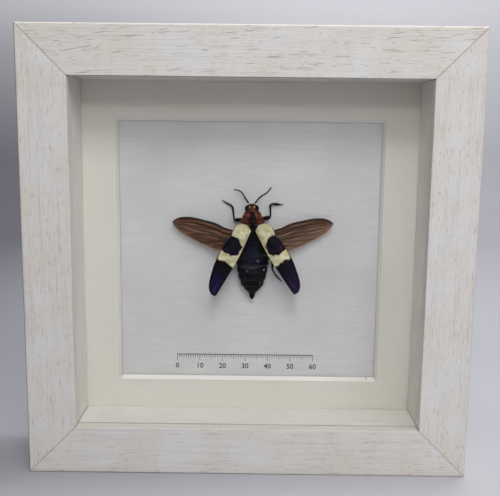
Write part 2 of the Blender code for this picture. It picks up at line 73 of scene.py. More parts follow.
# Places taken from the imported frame
rail_low, rail_high = measured("rail_top")
spacer_low, spacer_high = measured("spacer_top")
mat_low, mat_high = measured("mat")
board_low, board_high = measured("specimen_board")
HALF = cad_box[1][0] / MM      # half the frame's width, and the height of its centre
FACE = cad_box[0][1] / MM      # the frame's front face
FRAME_DEPTH = rail_high[1] - FACE
RAIL_WIDTH = rail_high[2] - rail_low[2]
SPACER_FRONT = spacer_low[1] - FACE
SPACER_BACK = spacer_high[1] - FACE
SPACER_INNER = 2 * HALF - spacer_low[2]
SPACER_OUTER = 2 * HALF - spacer_high[2]
MAT_FRONT = mat_low[1] - FACE
MAT_THICK = mat_high[1] - mat_low[1]
SHEET_HALF = mat_high[0]
BOARD_FRONT = board_low[1] - FACE
BOARD_THICK = board_high[1] - board_low[1]

# Sizes that the frame's boxes don't give
REBATE_WALL = 13.6
LIP_DEPTH = 4.5
ARRIS = 0.8                    # rounding of the rails' outer front edge
INNER_ARRIS = 0.35             # and of the lip's front edge
ARC_POINTS = 7                 # points on each rounded corner of a section
SPACER_PEEP = 0.1              # the spacers' inner faces stand out by this much
MAT_WINDOW_HALF = 55.75        # at the back of the mat
MAT_WINDOW_DROP = 1.25
MAT_BEVEL = 1.3                # as wide as the cut looks at the sides
MAT_BEVEL_RISE = 0.5           # how much farther up the cut reaches at the bottom
MAT_SIDE_POINTS = 90           # points on each side of a loop round the mat's window
MAT_FACE_LOOPS, MAT_BEVEL_LOOPS = 22, 7
MAT_COCKLE = 0.06              # how far the mat's face bends in and out
BOARD_ROWS, BOARD_COLUMNS = 420, 60
LAID_DEPTH = 0.012             # half the depth of the laid lines
LAID_SPACING = 1.1             # from one laid line of the board to the next


# Placing, grids and meshes

def framed(right, depth, up):
    """Points from the frame's front centre, in the part's own axes and in millimetres."""
    right, depth, up = np.broadcast_arrays(right, depth, up)
    return np.stack([right, depth + FACE, up + HALF], -1)


def over_board(x, z, h):
    """Points that stand h out from the specimen board."""
    return framed(x, BOARD_FRONT - np.asarray(h, float), z)


def grid_quads(rows, columns, round_columns=False):
    """Corner numbers of a grid's quads, row by row; a round grid's last column meets its first."""
    across = columns if round_columns else columns - 1
    i, j = np.meshgrid(np.arange(rows - 1), np.arange(across), indexing="ij")
    beside = (j + 1) % columns
    quads = np.stack([i * columns + j, i * columns + beside,
                      (i + 1) * columns + beside, (i + 1) * columns + j], -1)
    return quads.reshape(-1, 4)


def skin(rings, start_pole=None, end_pole=None):
    """A closed skin over rings of points: quads between rings, and a fan to a pole at each end."""
    rows, sides = rings.shape[:2]
    poles = [rings[0].mean(0) if start_pole is None else start_pole,
             rings[-1].mean(0) if end_pole is None else end_pole]
    points = np.vstack([rings.reshape(-1, 3), poles])
    j = np.arange(sides)
    beside = (j + 1) % sides
    last = (rows - 1) * sides
    start = np.stack([beside, j, np.full(sides, rows * sides)], -1)
    end = np.stack([last + j, last + beside, np.full(sides, rows * sides + 1)], -1)
    return points, grid_quads(rows, sides, round_columns=True), np.vstack([start, end])


def closed_sheet(top, under):
    """A thin closed solid between two grids of points: both grids and a rim that joins their edges."""
    rows, columns = top.shape[:2]
    shift = rows * columns
    faces = grid_quads(rows, columns)
    rim = np.concatenate([np.arange(columns), np.arange(1, rows) * columns + columns - 1,
                          (rows - 1) * columns + np.arange(columns - 2, -1, -1),
                          np.arange(rows - 2, 0, -1) * columns])
    beside = np.roll(rim, -1)
    sides = np.stack([beside, rim, rim + shift, beside + shift], -1)
    points = np.vstack([top.reshape(-1, 3), under.reshape(-1, 3)])
    return points, np.vstack([faces, faces[:, ::-1] + shift, sides]), np.zeros((0, 3), int)


def joined(parts):
    """Several closed skins as one set of points, quads and triangles."""
    counts = np.cumsum([0] + [len(p[0]) for p in parts])
    return (np.vstack([p[0] for p in parts]), np.vstack([p[1] + n for p, n in zip(parts, counts)]),
            np.vstack([p[2] + n for p, n in zip(parts, counts)]))


def volume(points, faces):
    """Signed volume under fans of triangles: positive where the faces point outwards."""
    a = points[faces[:, 0]]
    return sum(np.einsum("ij,ij->", a, np.cross(points[faces[:, k]], points[faces[:, k + 1]]))
               for k in range(1, faces.shape[1] - 1))


def new_object(name, data):
    """A new object with this data, linked to the scene."""
    made = bpy.data.objects.new(name, data)
    bpy.context.scene.collection.objects.link(made)
    return made


def piece(name, shape, material, nodes=(), masks=None, flow=None, crease=None):
    """Make one piece of the object from points in millimetres, quads and triangles.

    masks are numbers for each point, kept as attributes, and flow gives each point's place on
    the surface, for patterns that follow it.
    """
    points, quads, triangles = shape
    if volume(points, quads) + volume(points, triangles) < 0:
        quads, triangles = quads[:, ::-1], triangles[:, ::-1]
    mesh = bpy.data.meshes.new(name)
    mesh.from_pydata((points * MM).tolist(), [], quads.tolist() + triangles.tolist())
    for mask, values in (masks or {}).items():
        stored = mesh.attributes.new(mask, "FLOAT", "POINT")
        stored.data.foreach_set("value", spread_to(values, len(points)).astype(np.float32))
    if flow is not None:
        stored = mesh.attributes.new("flow", "FLOAT_VECTOR", "POINT")
        flow = flow.reshape(-1, 3)
        flow = np.vstack([flow] + [flow[-1:]] * (len(points) - len(flow)))
        stored.data.foreach_set("vector", (flow * MM).astype(np.float32).ravel())
    mesh.materials.append(material)
    mesh.shade_smooth()
    if crease is not None:
        mesh.set_sharp_from_angle(angle=math.radians(crease))
    made = new_object(name, mesh)
    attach(made, "root")
    if nodes:
        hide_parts(*nodes)
    return made


def spread_to(values, count):
    """Values of a grid as one row, with zeros for the poles or other points after it."""
    flat = np.asarray(values, float).ravel()
    return np.concatenate([flat, np.zeros(count - len(flat))])


# Patterns in the shapes

def ripples(points, size, seed, waves=28):
    """A smooth random height of about -1 to 1: waves of about one length in all directions, added."""
    random = np.random.default_rng(seed)
    heading = random.normal(size=(waves, 3))
    heading /= np.linalg.norm(heading, axis=1)[:, None]
    number = 2 * math.pi / size * random.uniform(0.6, 1.4, waves)
    phase = random.uniform(0, 2 * math.pi, waves)
    return np.cos(points @ (heading * number[:, None]).T + phase).sum(-1) / math.sqrt(2 * waves)


def scattered(a, b, seed):
    """A random number from 0 to 1 for each cell (a, b) of a grid: the fraction of a large sine."""
    value = np.sin(a * 127.1 + b * 311.7 + seed * 74.7) * 43758.5453
    return value - np.floor(value)


def pits(u, v, spacing, seed):
    """Depth share of small round pits, one in each cell of a jittered grid, deepest at its middle."""
    nearest = np.full(np.shape(u), 9.0)
    cell_u, cell_v = np.floor(u / spacing), np.floor(v / spacing)
    for du in (-1, 0, 1):
        for dv in (-1, 0, 1):
            a, b = cell_u + du, cell_v + dv
            x = (a + 0.5 + 0.7 * (scattered(a, b, seed) - 0.5)) * spacing
            y = (b + 0.5 + 0.7 * (scattered(a, b, seed + 1) - 0.5)) * spacing
            nearest = np.minimum(nearest, np.hypot(u - x, v - y) / spacing)
    return np.clip(1 - (nearest / 0.42) ** 2, 0, 1)


def curve_through(points, samples):
    """Evenly parametrised samples of a smooth (Catmull-Rom) curve through the points."""
    points = np.array(points, float)
    padded = np.vstack([2 * points[0] - points[1], points, 2 * points[-1] - points[-2]])
    place = np.linspace(0, len(points) - 1, samples)
    span = np.minimum(place.astype(int), len(points) - 2)
    t = (place - span)[:, None]
    a, b, c, d = (padded[span + k] for k in range(4))
    return 0.5 * (2 * b + (c - a) * t + (2 * a - 5 * b + 4 * c - d) * t ** 2
                  + (3 * b - a - 3 * c + d) * t ** 3)


def smooth_step(low, high, value):
    """0 below low, 1 above high and an even S between them."""
    t = np.clip((value - low) / (high - low), 0, 1)
    return t * t * (3 - 2 * t)


def full_turn(sides):
    """A row of angles once round, evenly spaced."""
    return np.linspace(0, 2 * math.pi, sides, endpoint=False)[None, :]


def flat_place(a, b):
    """Points (a, b, 0), for a pattern on a sheet."""
    a, b = np.broadcast_arrays(a, b)
    return np.stack([a, b, 0 * b], -1)


def sheet_between(first, second, rows, columns):
    """A grid between two smooth edges: its two coordinates, and the share of the way across."""
    first, second = (curve_through(edge, rows)[:, None, :] for edge in (first, second))
    share = np.tile(np.linspace(0, 1, columns), (rows, 1))
    place = first + (second - first) * share[..., None]
    return place[..., 0], place[..., 1], share


def on_both_faces(masks):
    """The masks of a sheet's upper grid, said again for its under grid."""
    return {name: np.tile(values.ravel(), 2) for name, values in masks.items()}


# Materials

def linear(hex_colour):
    """An sRGB hex colour as linear red, green, blue and a full alpha."""
    channels = [int(hex_colour[i:i + 2], 16) / 255 for i in (1, 3, 5)]
    return (*[c / 12.92 if c <= 0.04045 else ((c + 0.055) / 1.055) ** 2.4 for c in channels], 1.0)


def node(tree, kind, inputs=None, **settings):
    """Add a node, with its settings, and set or link its inputs by name or number."""
    made = tree.nodes.new(kind)
    for key, value in settings.items():
        setattr(made, key, value)
    for key, value in (inputs or {}).items():
        if isinstance(value, bpy.types.NodeSocket):
            tree.links.new(value, made.inputs[key])
        else:
            made.inputs[key].default_value = value
    return made


def finish(name, **values):
    """A new material with these values on its Principled shader, and its tree and shader."""
    made = bpy.data.materials.new(name)
    made.use_nodes = True
    shader = made.node_tree.nodes["Principled BSDF"]
    for key, value in values.items():
        shader.inputs[key.replace("_", " ")].default_value = value
    return made, made.node_tree, shader


def linked(tree, shader, **painted_glint_spots):
    """Link a socket to each of these inputs of the shader."""
    for key, socket in painted_glint_spots.items():
        tree.links.new(socket, shader.inputs[key.replace("_", " ")])


def bumped(tree, shader, strength, depth, height):
    """Give the shader a bump of this strength and depth in millimetres from a height socket."""
    bump = node(tree, "ShaderNodeBump", {"Strength": strength, "Distance": depth * MM, "Height": height})
    linked(tree, shader, Normal=bump.outputs[0])


def object_place(tree):
    """The socket of each point's place on the object, in metres."""
    return node(tree, "ShaderNodeTexCoord").outputs["Object"]


def flow_place(tree):
    """The socket of each point's place along and round its strip or sheet, in metres."""
    return node(tree, "ShaderNodeAttribute", attribute_name="flow").outputs["Vector"]


def mask_value(tree, name):
    """The socket of a mask that the piece keeps for each point, 0 where it has none."""
    return node(tree, "ShaderNodeAttribute", attribute_name=name).outputs["Fac"]


def drawn_out(tree, place, share):
    """The socket of a place with its first direction shortened, which draws a noise out along it."""
    return node(tree, "ShaderNodeMapping", {"Vector": place, "Scale": (share, 1.0, 1.0)}).outputs[0]


def noise(tree, place, size, detail=2.0, roughness=0.5):
    """The socket of a noise with features of this size in millimetres."""
    return node(tree, "ShaderNodeTexNoise", {"Vector": place, "Scale": per_size(size), "Detail": detail,
                                             "Roughness": roughness}).outputs["Fac"]


def per_size(millimetres):
    """The scale that gives a noise of this feature size, as coordinates are in metres."""
    return 1 / (millimetres * MM)


def combined(tree, operation, first, second):
    """The socket of a sum, a product or another operation on two values."""
    return node(tree, "ShaderNodeMath", {0: first, 1: second}, operation=operation).outputs[0]


def blended(tree, share, first, second):
    """The colour socket of a mix from one colour to another, each a hex colour or a socket."""
    colours = {6: first, 7: second}
    inputs = {k: linear(c) if isinstance(c, str) else c for k, c in colours.items()}
    return node(tree, "ShaderNodeMix", {0: share, **inputs}, data_type="RGBA").outputs[2]


def spread(tree, value, low, high, to_low=0.0, to_high=1.0):
    """The socket of a value carried from one range to another, and kept inside it."""
    return node(tree, "ShaderNodeMapRange", {"Value": value, "From Min": low, "From Max": high,
                                             "To Min": to_low, "To Max": to_high}).outputs["Result"]


def lets_light_through(tree, shader, colour, share=1.0):
    """Let this share of a lamp's light shine through the piece, in this colour."""
    clear = node(tree, "ShaderNodeBsdfTransparent", {"Color": linear(colour)}).outputs[0]
    passed = node(tree, "ShaderNodeLightPath").outputs["Is Shadow Ray"]
    if share < 1:
        passed = combined(tree, "MULTIPLY", passed, share)
    both = node(tree, "ShaderNodeMixShader", {0: passed, 1: shader.outputs[0], 2: clear}).outputs[0]
    tree.links.new(both, tree.nodes["Material Output"].inputs["Surface"])


def limed_wood(name, paint, warm, stain):
    """Open-pored wood brushed with white lime wash and wiped back: chalky white, streaked along the grain,
    with the stain left dark in the pores and mitre joints, painted shade along some edges, and a warmer tone
    where the wash is thin."""
    made, tree, shader = finish(name, Roughness=0.6, Specular_IOR_Level=0.35)
    flow = flow_place(tree)
    streaks = noise(tree, drawn_out(tree, flow, 0.018), 0.7, 3.0, 0.6)
    clouds = noise(tree, flow, 16)
    ticks = noise(tree, drawn_out(tree, flow, 0.1), 0.3, 1.0)
    ticked = combined(tree, "MULTIPLY", spread(tree, ticks, 0.62, 0.74, 0.0, 0.42),
                      spread(tree, clouds, 0.3, 0.62, 0.25, 1.0))
    colour = blended(tree, spread(tree, clouds, 0.35, 0.7), paint, warm)
    colour = blended(tree, spread(tree, mask_value(tree, "edge"), 0.0, 1.0, 0.0, 0.75), colour, warm)
    colour = blended(tree, spread(tree, streaks, 0.5, 0.75, 0.0, 0.24), colour, stain)
    colour = blended(tree, ticked, colour, stain)
    # The pore mask also holds the dark mitre joints and painted shade along some edges.
    colour = blended(tree, spread(tree, mask_value(tree, "pore"), 0.05, 0.9, 0.0, 0.92), colour, stain)
    linked(tree, shader, Base_Color=colour)
    bumped(tree, shader, 0.35, 0.2, streaks)
    return made


def paper(name, face, aged, tooth, lines=None):
    """Thick uncoated card: matt, with a fine tooth and faint cloudy tones. A laid sheet also has the close
    parallel lines of its mould, and a cut shows the white core, with painted shade greying its foot and, a
    little, its sides and top."""
    made, tree, shader = finish(name, Roughness=0.9, Specular_IOR_Level=0.25)
    place = object_place(tree)
    height = noise(tree, place, tooth, 3.0)
    colour = blended(tree, spread(tree, noise(tree, place, 30), 0.35, 0.75), face, aged)
    if lines:
        laid = noise(tree, drawn_out(tree, place, 0.1), lines, 1.0)
        colour = blended(tree, spread(tree, laid, 0.42, 0.7, 0.0, 0.5), colour, aged)
        height = combined(tree, "ADD", height, laid)
    colour = blended(tree, mask_value(tree, "core"), colour, "#fbfaf7")
    # Painted shade: grey on the cut where the mask says, darkest at its foot.
    colour = blended(tree, mask_value(tree, "painted_cut_shade"), colour, "#8d8a83")
    linked(tree, shader, Base_Color=colour)
    bumped(tree, shader, 0.3, 0.15, height)
    return made


def ink():
    """Black printing ink on paper: matt and a little grey where the paper shows through."""
    made, tree, shader = finish("printing_ink", Roughness=0.8)
    gaps = noise(tree, object_place(tree), 0.25, 1.0)
    linked(tree, shader, Base_Color=blended(tree, spread(tree, gaps, 0.4, 0.7), "#26272c", "#484a51"))
    return made


def float_glass():
    """Float glass with a coating against glare, which its low IOR stands for: clear, smooth and
    hardly mirroring, and lamps shine through it."""
    made, tree, shader = finish("float_glass", Roughness=0.0, IOR=1.14, Transmission_Weight=1.0)
    shader.inputs["Base Color"].default_value = linear("#f7f7f6")
    lets_light_through(tree, shader, "#eaeaea")
    return made


def wing_case_cuticle():
    """Lacquer-like wing case: cream yellow with a mottled, finely pitted surface, and black parts
    with a violet and blue metallic sheen that grows towards the tip."""
    made, tree, shader = finish("elytron_cuticle", Roughness=0.38, Specular_IOR_Level=0.2)
    place = object_place(tree)
    dark = mask_value(tree, "dark")
    fine = noise(tree, place, 0.7, 3.0)
    broad = noise(tree, place, 2.6)
    cream = blended(tree, spread(tree, broad, 0.38, 0.62), "#ece7c6", "#c8bf92")
    cream = blended(tree, spread(tree, fine, 0.5, 0.68, 0.0, 0.6), cream, "#a49c70")
    cream = blended(tree, spread(tree, mask_value(tree, "pit"), 0.2, 1.0, 0.0, 0.5), cream, "#8d8660")
    sheen = blended(tree, mask_value(tree, "violet"), "#38308a", "#553468")
    black = blended(tree, spread(tree, broad, 0.35, 0.75), "#030205", "#130c1b")
    black = blended(tree, mask_value(tree, "tip"), black, sheen)
    linked(tree, shader, Base_Color=blended(tree, dark, cream, black),
           Metallic=spread(tree, dark, 0.0, 1.0, 0.0, 0.6),
           Roughness=spread(tree, fine, 0.3, 0.7, 0.32, 0.48))
    bumped(tree, shader, 0.35, 0.08, fine)
    return made


def wing_membrane():
    """Smoky brown wing membrane: thin and slightly shiny, dark in the veins, reddish brown between them, with
    painted highlight on the crests of its folds, paler along its rear edge, and letting some light through."""
    made, tree, shader = finish("wing_membrane", Roughness=0.42, Specular_IOR_Level=0.3)
    flow = flow_place(tree)
    lines = noise(tree, drawn_out(tree, flow, 0.1), 1.1, 3.0)
    colour = blended(tree, spread(tree, noise(tree, flow, 5), 0.35, 0.65), "#6b462f", "#54361f")
    colour = blended(tree, spread(tree, lines, 0.5, 0.62, 0.0, 0.55), colour, "#2a1a11")
    colour = blended(tree, spread(tree, lines, 0.44, 0.34, 0.0, 0.5), colour, "#8f6c54")
    # Painted highlight on the fold crests.
    colour = blended(tree, spread(tree, mask_value(tree, "painted_fold_highlight"), 0.1, 1.0, 0.0, 0.45), colour, "#93715a")
    colour = blended(tree, mask_value(tree, "pale"), colour, "#b0917a")
    colour = blended(tree, spread(tree, mask_value(tree, "vein"), 0.1, 0.7, 0.0, 0.95), colour, "#140c08")
    linked(tree, shader, Base_Color=colour)
    bumped(tree, shader, 0.5, 0.1, lines)
    lets_light_through(tree, shader, "#e8cdb8", 0.6)
    return made


def armour(name, first, second, third, edge, patch_size, grain, roughness, metallic):
    """Hard beetle cuticle: metallic, with one colour clouding into a second, a third where the mask called
    centre is high, a paler one where the mask called pale is, which is painted glints on the head and painted
    highlights and a real pale line on the abdomen, and a fine grain that breaks its highlights."""
    made, tree, shader = finish(name, Roughness=roughness, Metallic=metallic, Specular_IOR_Level=0.1)
    place = object_place(tree)
    clouds = noise(tree, place, patch_size, 3.0, 0.65)
    colour = blended(tree, spread(tree, clouds, 0.44, 0.57), first, second)
    colour = blended(tree, mask_value(tree, "centre"), colour, third)
    # Painted glints and highlights where the pale mask is, besides a real pale line on the abdomen.
    colour = blended(tree, mask_value(tree, "pale"), colour, edge)
    linked(tree, shader, Base_Color=colour)
    bumped(tree, shader, 0.8, 0.12, noise(tree, place, grain))
    return made


def hardboard():
    """Wet-process hardboard: dense brown fibres pressed flat, flecked with lighter and darker ones."""
    made, tree, shader = finish("hardboard", Roughness=0.78)
    place = object_place(tree)
    fibres = noise(tree, place, 1.2, 5.0, 0.7)
    colour = blended(tree, spread(tree, noise(tree, place, 20), 0.3, 0.7), "#86613f", "#765237")
    colour = blended(tree, spread(tree, fibres, 0.52, 0.75, 0.0, 0.8), colour, "#4b3322")
    colour = blended(tree, spread(tree, fibres, 0.45, 0.28, 0.0, 0.6), colour, "#b08a62")
    linked(tree, shader, Base_Color=colour)
    bumped(tree, shader, 0.4, 0.3, fibres)
    return made


def plated_steel(name, bright, dull, roughness):
    """Thin sheet steel, stamped and plated: a rolled surface with fine scratches and dulled patches."""
    made, tree, shader = finish(name, Roughness=roughness, Metallic=1.0)
    place = object_place(tree)
    patches = noise(tree, place, 4, 3.0)
    linked(tree, shader, Base_Color=blended(tree, spread(tree, patches, 0.4, 0.7), bright, dull),
           Roughness=spread(tree, patches, 0.3, 0.8, roughness, roughness + 0.25))
    bumped(tree, shader, 0.3, 0.05, noise(tree, drawn_out(tree, place, 0.1), 0.4, 3.0))
    return made


def clear_glue():
    """Dried hide glue: amber, clear and glossy, with small bubbles under its skin."""
    made, tree, shader = finish("clear_glue", Roughness=0.2, IOR=1.5, Transmission_Weight=0.4)
    bubbles = node(tree, "ShaderNodeTexVoronoi", {"Vector": object_place(tree), "Scale": per_size(0.8)})
    share = spread(tree, bubbles.outputs["Distance"], 0.1, 0.5)
    linked(tree, shader, Base_Color=blended(tree, share, "#efe6c8", "#c9b57e"))
    return made


def grime(name, first, second):
    """Loose dirt or dust: matt crumbs of two tones."""
    made, tree, shader = finish(name, Roughness=0.85)
    crumbs = noise(tree, object_place(tree), 0.3)
    linked(tree, shader, Base_Color=blended(tree, spread(tree, crumbs, 0.35, 0.65), first, second))
    return made


def plain_stage():
    """Pale matt studio card, with painted shadow low on its left side and painted light high up."""
    made, tree, shader = finish("studio_card", Roughness=0.9)
    place = object_place(tree)
    along = node(tree, "ShaderNodeSeparateXYZ", {0: place}).outputs
    pale = blended(tree, noise(tree, place, 120, 1.0), "#c2c2c8", "#cacad0")
    # Painted light: whiter high up.
    pale = blended(tree, spread(tree, along["Z"], 0.12, 0.38), pale, "#f4f4f8")
    # Painted shadow: greyer low on the left.
    low = blended(tree, spread(tree, along["X"], -0.32, 0.06), "#84848d", pale)
    linked(tree, shader, Base_Color=blended(tree, spread(tree, along["Z"], 0.1, 0.38), low, pale))
    return made


LIMED_WOOD = limed_wood("limed_wood", "#eeedeb", "#ebe5db", "#85786b")
LIMED_SPACER = limed_wood("limed_spacer", "#edecea", "#e9e6e0", "#8b8074")
GLASS = float_glass()
MAT_CARD = paper("mat_card", "#eae8e0", "#e7e4da", 0.5)
LAID_CARD = paper("white_card", "#e4e4e5", "#d5d7d9", 0.45, LAID_SPACING)
INK = ink()
HARDBOARD = hardboard()
ZINC = plated_steel("zinc_plated_steel", "#c3c6c9", "#9da0a3", 0.3)
BRASSED = plated_steel("brassed_steel", "#c49a4c", "#8f713a", 0.28)
WING_CASE = wing_case_cuticle()
MEMBRANE = wing_membrane()
# The fourth colours are the pale ones: painted glints on the head, painted highlights and a real pale line on
# the abdomen.
RED_CUTICLE = armour("red_cuticle", "#834939", "#451f1b", "#1e0e19", "#e6c7b4", 1.0, 0.3, 0.34, 0.45)
BLACK_CUTICLE = armour("black_cuticle", "#08070a", "#121217", "#06060a", "#2a2a30", 1.2, 0.25, 0.36, 0.2)
BLUE_CUTICLE = armour("blue_black_cuticle", "#010103", "#06060e", "#0e1035", "#7f8596", 1.5, 0.35, 0.24, 0.15)
EYE = armour("eye_lens", "#09080b", "#110e12", "#1b1616", "#3a3030", 0.8, 0.12, 0.18, 0.0)
GLUE = clear_glue()
DIRT_CRUMBS = grime("dry_dirt", "#4d463f", "#7b7268")
DUST_CRUMBS = grime("pale_dust", "#d9d7d2", "#a9a8a8")


# Frame rails and spacers

def section(corners):
    """Points of a closed section from corners (inward, depth, radius, spacing).

    A corner with a radius is rounded by an arc, and the straight stretch after it is divided at
    the spacing.
    """
    places = np.array([c[:2] for c in corners], float)
    count = len(corners)
    points = []
    for k, (_, _, radius, spacing) in enumerate(corners):
        here, before, after = places[k], places[k - 1], places[(k + 1) % count]
        to_before = (before - here) / np.linalg.norm(before - here)
        to_after = (after - here) / np.linalg.norm(after - here)
        centre = here + radius * (to_before + to_after)
        angles = np.linspace(0, math.pi / 2, ARC_POINTS if radius else 1)[:, None]
        points.append(centre - radius * (np.cos(angles) * to_after + np.sin(angles) * to_before)
                      if radius else here[None])
        start, end = here + radius * to_after, after - corners[(k + 1) % count][2] * to_after
        steps = max(1, round(np.linalg.norm(end - start) / spacing))
        points.append(start + np.arange(1, steps)[:, None] / steps * (end - start))
    return np.vstack(points)


def slits(along, around, pores):
    """Depth share of wood pores on a grid: slits along the grain that fade at their ends and sides."""
    field = np.zeros_like(along)
    for middle, across, length, width, slope, strength in pores:
        near = np.abs(around[0] - across) < 3 * width + abs(slope) * length
        a, v = along[:, near] - middle, around[:, near] - across
        side = (v - slope * a - 0.06 * np.sin(a * 0.9 + across)) / width
        ends = np.sqrt(np.clip(1 - (2 * a / length) ** 2, 0, 1))
        field[:, near] = np.maximum(field[:, near], strength * ends * np.exp(-side ** 2))
    return field


# For each side: seed, number of pores on the face, shortest and longest pore, the slope of the grain at the
# two ends of the rail, how dark its pores are, how much painted shade lies along its outer edge and along its
# inner one, and how far back from the front the inner painted shade reaches
RAIL_GRAIN = {"top": (11, 300, 1.5, 8.0, -0.13, -0.03, 0.9, 0.0, 0.8, 2.5),
              "bottom": (12, 250, 1.2, 8.0, 0.02, 0.07, 0.6, 0.0, 0.0, 2.5),
              "left": (13, 620, 0.6, 3.6, 0.0, 0.01, 0.6, 1.0, 0.0, 2.5),
              "right": (14, 660, 0.6, 3.6, 0.0, 0.01, 0.6, 0.3, 0.1, 2.5)}
SPACER_GRAIN = {side: (20 + k, 60, 3.0, 16.0, 0.0, 0.01, 0.7, 0.0, 0.7, 0.8)
                for k, side in enumerate(RAIL_GRAIN)}
PORE_ROWS = 52                 # rows of pores across a face
ROW_CLOSING = 0.92             # how far the strips' rows of points close up towards the mitres
MITRE_CUT = 0.06               # what each mitred end lacks, along the rail


def scattered_pores(grain):
    """The pores of one strip, on its face and then on its outer edge: middle, place across, length,
    width, slope and strength."""
    seed, count, short, long, slope_low, slope_high, darkness = grain[:7]
    random = np.random.default_rng(seed)
    pores = []
    for on_edge, reach in ((False, RAIL_WIDTH), (True, -FRAME_DEPTH)):
        number = int(count * 1.4) if on_edge else count
        middles = random.uniform(-HALF, HALF, number)
        # Pores lie in rows, which are closer together towards the outer edge
        across = random.uniform(0, 1, number) ** (1.0 if on_edge else 1.4)
        across = np.round(PORE_ROWS * across) / PORE_ROWS
        across = reach * (across + random.normal(0, 0.004, number))
        lengths = short + (long - short) * random.uniform(0, 1, number) ** 2
        widths = random.uniform(0.07, 0.15, number)
        slopes = np.interp(middles, (-HALF, HALF), (slope_low, slope_high))
        slopes = slopes + random.normal(0, 0.012, number)
        strengths = darkness * random.uniform(0.2, 1.0, number)
        pores += list(zip(middles, across, lengths, widths, slopes, strengths))
    return pores


def strip(side, profile, start, row_spacing, grain, pore_depth, pole):
    """One mitred strip of the frame, its masks and its flow coordinates.

    The profile is carried along the side and shortened inwards by the mitre, and a pole inside it
    closes each end. Pores and fine ridges of the grain are sunk along its normals. Places across
    the grain are measured from start, in millimetres round the profile.
    """
    inward, depth = profile[:, 0], profile[:, 1]
    step = np.linalg.norm(np.roll(profile, -1, axis=0) - profile, axis=1)
    around = np.concatenate([[0], np.cumsum(step)[:-1]]) - start
    tangent = np.roll(profile, -1, axis=0) - np.roll(profile, 1, axis=0)
    tangent /= np.linalg.norm(tangent, axis=1)[:, None]
    normal = np.stack([tangent[:, 1], -tangent[:, 0]], -1)
    middle = np.array([inward.mean(), depth.mean()])
    if np.sum(normal * (profile - middle)) < 0:
        normal = -normal
    rows = round(2 * HALF / row_spacing)
    bend = math.pi / 2 * ROW_CLOSING
    share = np.sin(np.linspace(-1, 1, rows + 1) * bend) / math.sin(bend)
    along = share[:, None] * (HALF - inward - MITRE_CUT)
    around = np.broadcast_to(around, along.shape)
    seed, (outer_edge_shade, inner_edge_shade, inner_shade_reach) = grain[0], grain[7:]
    pore = slits(along, around, scattered_pores(grain))
    grain_place = np.stack([along / 14, around / 0.9, np.full_like(along, seed)], -1)
    sunk = pore_depth * pore + 0.018 * ripples(grain_place, 3.0, seed)
    from_end = HALF - inward - MITRE_CUT - np.abs(along)
    sunk = sunk + 0.07 * np.exp(-from_end / 0.15)
    sunk *= smooth_step(0.2, 0.8, around + start)
    inward, depth = inward - sunk * normal[:, 0], depth - sunk * normal[:, 1]
    sign = -1 if side in ("bottom", "left") else 1

    def placed(along_side, back, from_edge):
        level = sign * (HALF - from_edge)
        if side in ("top", "bottom"):
            return framed(along_side, back, level)
        return framed(level, back, along_side)

    poles = [placed(end * (HALF - pole[0] - MITRE_CUT), pole[1], pole[0]) for end in (-1, 1)]
    # Painted shade along the outer front edge and on the inner face near the front, as much as the grain
    # table gives for the side, and the real dark joints at the mitred ends.
    joints_and_edge_shade = outer_edge_shade * np.exp(-((around - 0.1) / 0.3) ** 2) + 0.5 * np.exp(-(from_end / 0.16) ** 2)
    inside = smooth_step(profile[:, 0].max() - 0.2, profile[:, 0].max() - 0.05, inward)
    joints_and_edge_shade = joints_and_edge_shade + inner_edge_shade * inside * smooth_step(inner_shade_reach, 0.2 * inner_shade_reach, depth - profile[:, 1].min())
    masks = {"pore": np.maximum(pore, joints_and_edge_shade), "edge": np.maximum(np.exp(-np.abs(around) / 2.2), inside) * 0.8}
    flow = np.stack([along, around, np.full_like(along, seed * 7.0)], -1)
    return skin(placed(along, depth, inward), *poles), masks, flow


def make_rails():
    """The four rails: a rebated bar with soft edges, its face finely divided where the pores show."""
    corners = [(0, FRAME_DEPTH, 0, 0.6), (0, 0, ARRIS, 0.15), (RAIL_WIDTH, 0, INNER_ARRIS, 0.4),
               (RAIL_WIDTH, LIP_DEPTH, 0, 2.0), (REBATE_WALL, LIP_DEPTH, 0, 8.0),
               (REBATE_WALL, FRAME_DEPTH, 0, 2.5)]
    for side, grain in RAIL_GRAIN.items():
        shape, masks, flow = strip(side, section(corners), FRAME_DEPTH - 0.4 * ARRIS, 0.55, grain, 0.14,
                                   (REBATE_WALL / 2, LIP_DEPTH / 2))
        piece(f"limed_rail_{side}", shape, LIMED_WOOD, [f"rail_{side}"], masks, flow, crease=35)


def make_spacers():
    """The four strips between the glass and the mat, with a softened inner front edge."""
    corners = [(SPACER_OUTER, SPACER_BACK, 0, 4.0), (SPACER_OUTER, SPACER_FRONT, 0, 0.6),
               (SPACER_INNER + SPACER_PEEP, SPACER_FRONT, 0.3, 0.5),
               (SPACER_INNER + SPACER_PEEP, SPACER_BACK, 0, 1.0)]
    for side, grain in SPACER_GRAIN.items():
        shape, masks, flow = strip(side, section(corners), 0.0, 1.2, grain, 0.05,
                                   ((SPACER_OUTER + SPACER_INNER) / 2, (SPACER_FRONT + SPACER_BACK) / 2))
        piece(f"limed_spacer_{side}", shape, LIMED_SPACER, [f"spacer_{side}"], masks, flow,
              crease=35)


# Mat, board and scale

def square_loop(half_width, up, count):
    """Points once round a square of this half width, centred at this height, evenly spaced."""
    t = np.linspace(0, 4, 4 * count, endpoint=False)
    x = np.interp(t, (0, 1, 2, 3, 4), (-1, 1, 1, -1, -1))
    z = np.interp(t, (0, 1, 2, 3, 4), (-1, -1, 1, 1, -1))
    return half_width * x, half_width * z + up


